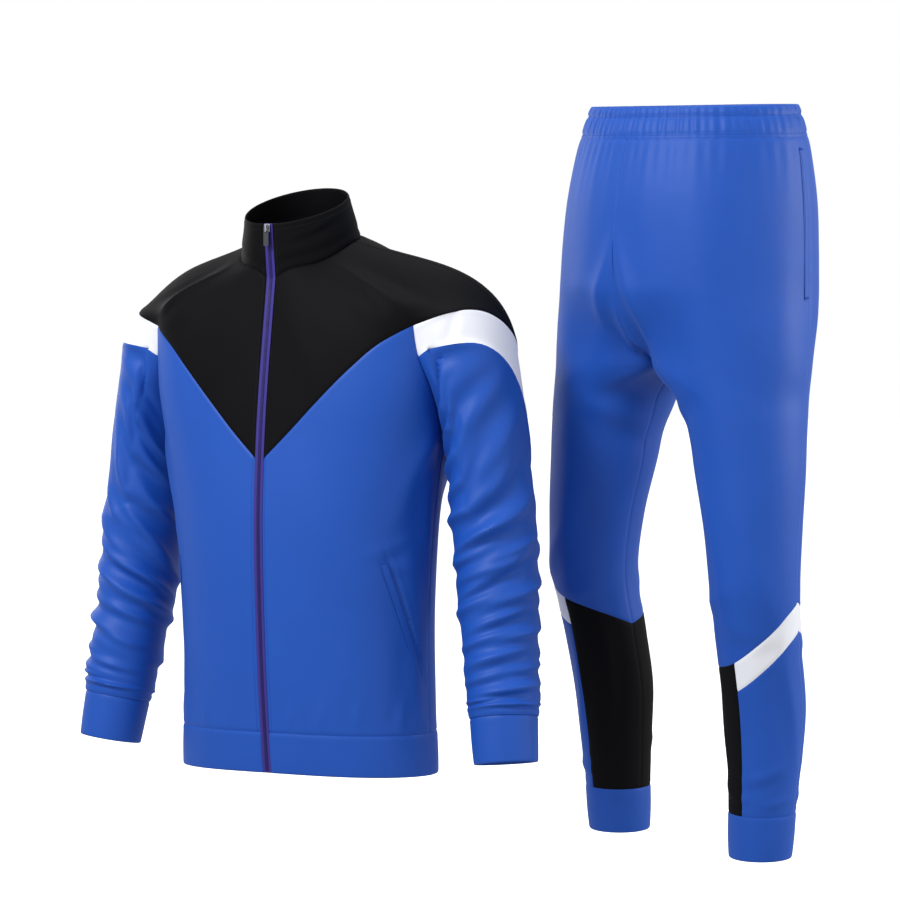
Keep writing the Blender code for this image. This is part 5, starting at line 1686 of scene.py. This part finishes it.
    def cut_waistband(self) -> None:
        """Elastic waistband in two halves, gathered over its elastic."""
        front = np.linspace(0, SIDE_SEAM, 141)
        back = np.linspace(SIDE_SEAM, 1, 111)
        down = np.linspace(0, 1, 17)
        height = WAIST_TOP + (WAIST_SEAM - WAIST_TOP) * down[:, None]
        for name, around in (("waistband_front", front[::-1]), ("waistband_back", back)):
            points, faces = leg_point(around, height), leg_face(around, height)
            points[:, -1, 0] = 0.0
            faces[:, -1, 0] = 0.0
            flat = np.stack(np.broadcast_arrays(around * LEG_ROUND, height), -1)
            points, faces, flat = joined_across(points, unit(faces), flat)
            points, faces = self.placed(points, faces)
            self.pieces[name] = Cloth(
                name, Knit.ROYAL, points, faces, flat,
                heights=self.elastic(flat[..., 0], down[:, None]), **STANDING,
            )

    def elastic(self, u: Array, down: Array) -> Array:
        """Gathers of the waistband: uneven upright ripples held flat by two rows of sewing."""
        ripple = 0.55 * np.sin(u / 2.05 + 1.2 * np.sin(u / 17.0)) + 0.35 * np.sin(u / 3.4 + 0.7)
        held = bell(down - 0.33, 0.05) + bell(down - 0.88, 0.05)
        swell = 0.8 * np.sin(np.pi * np.clip(down / 0.33, 0, 1)) + 0.6 * np.sin(
            np.pi * np.clip((down - 0.33) / 0.55, 0, 1)
        )
        ripple = ripple * (1 - 0.75 * held) * np.clip(np.minimum(down, 1 - down) * 6, 0.25, 1)
        return ripple + swell - 1.2 * held

    def build(self) -> None:
        """Cuts and makes every piece of the trousers."""
        self.cut_legs()
        self.cut_waistband()
        for piece in self.pieces.values():
            piece.build()


# Rows of small parts.


class Shape(Enum):
    """What is repeated along a line."""

    THREAD = "thread"
    TOOTH = "tooth"


@dataclass
class Row:
    """Small parts repeated along lines by one Geometry Nodes tree."""

    name: str
    shape: Shape
    finish: Finish
    pitch: float
    size: tuple[float, float, float]
    jitter: float = 0.05
    slot: str = Knit.ROYAL.value

    def tree(self) -> bpy.types.NodeTree:
        """Tree that turns lines into a row of parts, made once for each shape.

        Returns:
            The node group with named inputs.
        """
        label = "row_of_" + self.shape.value
        found = bpy.data.node_groups.get(label)
        if found:
            return found
        tree = bpy.data.node_groups.new(label, "GeometryNodeTree")
        face = tree.interface
        face.new_socket(name="Geometry", in_out="INPUT", socket_type="NodeSocketGeometry")
        for name, kind in (
            ("Pitch", "NodeSocketFloat"), ("Size", "NodeSocketVector"), ("Jitter", "NodeSocketFloat"),
            ("Seed", "NodeSocketInt"), ("Material", "NodeSocketMaterial"),
        ):
            face.new_socket(name=name, in_out="INPUT", socket_type=kind)
        face.new_socket(name="Geometry", in_out="OUTPUT", socket_type="NodeSocketGeometry")
        given = add_node(tree, "NodeGroupInput").outputs
        curve = add_node(tree, "GeometryNodeMeshToCurve", links={"Mesh": given["Geometry"]})
        evenly = add_node(
            tree, "GeometryNodeResampleCurve",
            links={"Curve": curve.outputs["Curve"], "Length": given["Pitch"]}, mode="LENGTH",
        )
        tangent = add_node(tree, "GeometryNodeInputTangent")
        aligned = add_node(
            tree, "FunctionNodeAlignRotationToVector", links={"Vector": tangent.outputs["Tangent"]},
            axis="Z", pivot_axis="X" if self.shape is Shape.TOOTH else "AUTO",
        )
        least = add_node(
            tree, "ShaderNodeMath", inputs={1: -1.0}, links={0: given["Jitter"]}, operation="MULTIPLY",
        )
        uneven = add_node(
            tree, "FunctionNodeRandomValue",
            links={0: least.outputs[0], 1: given["Jitter"], "Seed": given["Seed"]},
            data_type="FLOAT_VECTOR",
        )
        turned = add_node(
            tree, "FunctionNodeRotateRotation",
            links={"Rotation": aligned.outputs["Rotation"], "Rotate By": uneven.outputs[0]},
            rotation_space="LOCAL",
        )
        if self.shape is Shape.TOOTH:
            part = add_node(tree, "GeometryNodeMeshCube", inputs={"Size": (1, 1, 1)})
        else:
            part = add_node(
                tree, "GeometryNodeMeshCylinder", inputs={"Vertices": 6, "Radius": 0.5, "Depth": 1.0},
            )
        placed = add_node(
            tree, "GeometryNodeInstanceOnPoints",
            links={
                "Points": evenly.outputs["Curve"], "Instance": part.outputs["Mesh"],
                "Rotation": turned.outputs["Rotation"], "Scale": given["Size"],
            },
        )
        real = add_node(
            tree, "GeometryNodeRealizeInstances", links={"Geometry": placed.outputs["Instances"]}
        )
        dressed = add_node(
            tree, "GeometryNodeSetMaterial",
            links={"Geometry": real.outputs["Geometry"], "Material": given["Material"]},
        )
        add_node(tree, "NodeGroupOutput", links={"Geometry": dressed.outputs["Geometry"]})
        return tree

    def along(self, lines: list[Array], *nodes: str) -> bpy.types.Object:
        """Makes the row along lines and hands it to the frame.

        Args:
            lines: Points of every line in millimetres.
            *nodes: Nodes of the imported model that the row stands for.

        Returns:
            The finished piece.
        """
        verts = np.concatenate(lines) * MM
        edges, start = [], 0
        for line in lines:
            edges += [(start + at, start + at + 1) for at in range(len(line) - 1)]
            start += len(line)
        mesh = bpy.data.meshes.new(self.name)
        mesh.from_pydata(verts.tolist(), edges, [])
        obj = new_object(self.name, mesh)
        tree = self.tree()
        values = {
            "Pitch": self.pitch * MM, "Size": [value * MM for value in self.size],
            "Jitter": self.jitter, "Seed": SEED, "Material": self.finish.make(),
        }
        row = obj.modifiers.new("row", "NODES")
        row.node_group = tree
        for socket in tree.interface.items_tree:
            if socket.item_type == "SOCKET" and socket.in_out == "INPUT" and socket.name in values:
                row[socket.identifier] = values[socket.name]
        bpy.context.view_layer.update()
        graph = bpy.context.evaluated_depsgraph_get()
        made = bpy.data.meshes.new_from_object(obj.evaluated_get(graph), depsgraph=graph)
        obj.modifiers.remove(row)
        obj.data = made
        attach(obj, Body.GARMENT.value)
        if nodes:
            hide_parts(*nodes)
        LOG.info("%s: %d faces", obj.name, len(made.polygons))
        return obj


# The zip.


@dataclass
class Zip:
    """Closed coil zip: two tapes, teeth, slider and pull tab."""

    jacket: Jacket
    tape_from: float = 0.15
    tape_to: float = 6.35
    tape_wall: float = 1.2
    tape_length: float = 760.0
    tooth_pitch: float = 1.35
    tooth: tuple[float, float, float] = (4.4, 1.5, 0.85)

    def profile(self) -> tuple[Array, Array]:
        """Line down the centre front with its facing, in millimetres."""
        collar = self.jacket.collar_grid()[0][:, 0]
        yoke = self.jacket.yoke_grid()[0][1:, 0]
        heights = np.linspace(VEE_LINE[0][1], self.jacket.hem_bottom, 90)[1:]
        places = np.stack([0 * heights, heights], -1)
        low = body_point(*places.T)
        low[:, 2] += self.jacket.lift(places)
        points = np.concatenate([collar, yoke, low])
        run = run_along(points)
        points = smooth_curve(run, points, np.linspace(0.15, run[-1] - 0.15, 221))
        points[1:-1] = (points[:-2] + 2 * points[1:-1] + points[2:]) / 4
        step = np.gradient(points[:, 1:], axis=0)
        return points, unit(np.stack([0 * step[:, 0], step[:, 1], -step[:, 0]], -1))

    def cut_tapes(self) -> None:
        """Both tapes, from under the teeth to the fronts' edges."""
        points, faces = self.profile()
        shares = np.linspace(self.tape_from, self.tape_to, 6)
        grid = np.repeat(points[:, None], 6, axis=1)
        grid[..., 0] = shares
        facing = np.repeat(faces[:, None], 6, axis=1)
        run = np.linspace(0, 1, len(points))[:, None] * self.tape_length
        flat = np.stack(np.broadcast_arrays(shares, -run), -1)
        ridge = 0.5 * bell(shares - 4.9, 0.7) * np.ones((len(points), 1))
        for side in Side:
            pair = (grid, facing) if side is Side.LEFT else mirrored(grid, facing)
            piece = Cloth(
                f"zip_tape_{side.value}", Knit.ROYAL, *pair, flat, wall=self.tape_wall, seams=(),
                hems=("top", "bottom"), heights=ridge, is_sheet=False,
            )
            obj = piece.build()
            obj.data.materials[0] = TAPE.make()

    def set_teeth(self) -> None:
        """Moulded teeth over the join of the tapes."""
        points, faces = self.profile()
        line = points + faces * 0.75
        line[:, 0] = 0.0
        row = Row(
            "zip_teeth", Shape.TOOTH, TEETH, self.tooth_pitch, self.tooth, jitter=0.03,
            slot="indigo_tape",
        )
        row.along([line[1:-1]], "zip_chain")

    def dress_metal(self) -> None:
        """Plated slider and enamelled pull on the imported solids."""
        for node, finish in (("zip_slider", PLATED), ("zip_pull", ENAMEL)):
            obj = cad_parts[node]
            for place in obj.material_slots:
                place.material = finish.make()

    def build(self) -> None:
        """Makes the whole zip."""
        self.cut_tapes()
        self.set_teeth()
        self.dress_metal()


# Sewing on the finished pieces.


@dataclass
class Sewing:
    """Topstitching and bar tacks on the finished pieces."""

    jacket: Jacket
    trousers: Trousers
    stitch: tuple[float, float, float] = (0.5, 0.5, 2.3)
    pitch: float = 3.0
    tack: tuple[float, float, float] = (0.55, 0.55, 1.0)
    tack_pitch: float = 0.9
    # Distances of the rows from their edges.
    beside_zip: float = 4.5
    collar_edge: float = 8.0
    elastic_rows: tuple[float, float] = (14.0, 5.0)
    welt_edge: float = 1.6
    pocket_edge: float = 2.2
    tack_rows: tuple[float, float, float] = (1.4, 2.3, 3.2)

    def rows(self) -> dict[Knit, list[Array]]:
        """Stitch lines by the colour of their thread."""
        jacket, trousers = self.jacket.pieces, self.trousers.pieces
        royal, black = [], [jacket["collar"].sewn("top", self.collar_edge)]
        for name in ("waistband_front", "waistband_back"):
            for edge, away in zip(("top", "bottom"), self.elastic_rows):
                royal.append(trousers[name].sewn(edge, away))
        for side in Side:
            royal.append(jacket[f"front_{side.value}"].sewn("near", self.beside_zip))
            black.append(jacket[f"yoke_front_{side.value}"].sewn("near", self.beside_zip))
            welt = jacket[f"pocket_welt_{side.value}"]
            royal += [welt.sewn(edge, self.welt_edge) for edge in ("near", "far")]
            edge = trousers[f"pocket_edge_{side.value}"]
            royal.append(edge.sewn("near", self.pocket_edge))
        black += [jacket["collar"].sewn(edge, self.beside_zip) for edge in ("near", "far")]
        return {Knit.ROYAL: royal, Knit.BLACK: black}

    def tacks(self) -> list[Array]:
        """Bar tacks across both ends of every pocket."""
        made = []
        for side in Side:
            for piece in (
                self.jacket.pieces[f"pocket_welt_{side.value}"],
                self.trousers.pieces[f"pocket_edge_{side.value}"],
            ):
                for edge in ("top", "bottom"):
                    made += [piece.sewn(edge, away) for away in self.tack_rows]
        return made

    def build(self) -> None:
        """Sews every row."""
        for knit, lines in self.rows().items():
            name = "topstitch_" + knit.name.lower()
            row = Row(name, Shape.THREAD, THREADS[knit], self.pitch, self.stitch, slot=knit.value)
            row.along(lines)
        tack = Row("bar_tacks", Shape.THREAD, THREADS[Knit.ROYAL], self.tack_pitch, self.tack, 0.5)
        tack.along(self.tacks())


# Floor, lights and camera.


@dataclass
class Studio:
    """Plain pale floor, soft lights and the camera at the photograph's angle."""

    floor_height: float = -0.95
    floor_reach: float = 60.0
    surround: float = 0.54
    floor_glow: float = 0.72
    camera_at: tuple[float, float, float] = (2.250, -3.8971, -0.1037)
    camera_lens: float = 135.338
    camera_sensor: float = 36.0
    camera_reach: float = 200.0
    camera_pitch: float = 90 - 1.862
    camera_turn: float = 27.63
    # Name, place, aimed at, side length, power.
    lamps: tuple = (
        ("key", (-0.7, -2.9, 2.0), (0.15, 0.0, -0.25), 1.1, 110.0),
        ("fill", (4.0, -2.0, 0.8), (0.2, 0.1, -0.3), 2.0, 24.0),
        ("rim_left", (-2.4, 1.0, 0.4), (0.0, 0.0, -0.35), 1.4, 13.0),
        ("rim_right", (3.0, 1.6, 0.5), (0.45, 0.2, -0.3), 1.4, 52.0),
        ("top", (0.3, 0.6, 2.8), (0.2, 0.1, 0.0), 1.8, 32.0),
    )

    def set_floor(self) -> None:
        """Large pale floor under the garment."""
        half, low = self.floor_reach / 2, self.floor_height
        corners = [(-half, -half, low), (half, -half, low), (half, half, low), (-half, half, low)]
        mesh = bpy.data.meshes.new("studio_floor")
        mesh.from_pydata(corners, [], [(0, 1, 2, 3)])
        # Matt paint, almost white, that glows a little so that it stays even.
        paint = Finish("painted_floor_matt", "#fbfbfb", 0.95, specular=0.0).make()
        shader = paint.node_tree.nodes[SKIN_NODE]
        shader.inputs["Emission Color"].default_value = linear("#ffffff")
        shader.inputs["Emission Strength"].default_value = self.floor_glow
        mesh.materials.append(paint)
        floor = new_object("studio_floor", mesh)
        floor.visible_diffuse = False
        floor.visible_glossy = False

    def set_lights(self) -> None:
        """Soft boxes and an even pale surround."""
        for name, place, aim, size, power in self.lamps:
            lamp = bpy.data.lights.new("studio_" + name, "AREA")
            lamp.shape = "SQUARE"
            lamp.size, lamp.energy = size, power
            obj = new_object("studio_" + name, lamp)
            obj.location = place
            aimed = Vector(aim) - Vector(place)
            obj.rotation_euler = aimed.to_track_quat("-Z", "Y").to_euler()
        world = bpy.data.worlds.new("studio_surround")
        world.use_nodes = True
        tree = world.node_tree
        surround = tree.nodes["Background"]
        surround.inputs["Color"].default_value = linear("#ffffff")
        surround.inputs["Strength"].default_value = self.surround
        backdrop = add_node(tree, "ShaderNodeBackground", inputs={"Color": linear("#ffffff")})
        seen = add_node(tree, "ShaderNodeLightPath")
        mixed = add_node(
            tree, "ShaderNodeMixShader",
            links={0: seen.outputs["Is Camera Ray"], 1: surround.outputs[0], 2: backdrop.outputs[0]},
        )
        tree.links.new(mixed.outputs[0], tree.nodes["World Output"].inputs["Surface"])
        bpy.context.scene.world = world
        bpy.context.scene.view_settings.view_transform = "Standard"

    def set_camera(self) -> None:
        """Camera at the photograph's viewing angle."""
        camera = bpy.data.cameras.new("photo_camera")
        camera.lens, camera.sensor_width = self.camera_lens, self.camera_sensor
        camera.clip_end = self.camera_reach
        obj = new_object("photo_camera", camera)
        obj.location = self.camera_at
        obj.rotation_euler = (math.radians(self.camera_pitch), 0.0, math.radians(self.camera_turn))
        bpy.context.scene.camera = obj

    def build(self) -> None:
        """Sets the whole studio."""
        self.set_floor()
        self.set_lights()
        self.set_camera()


def main() -> None:
    """Builds every piece in order."""
    logging.basicConfig(level=logging.INFO, format="%(message)s")
    Studio().build()
    jacket = Jacket()
    jacket.build()
    trousers = Trousers()
    trousers.build()
    Zip(jacket).build()
    Sewing(jacket, trousers).build()


if __name__ == "__main__":
    main()
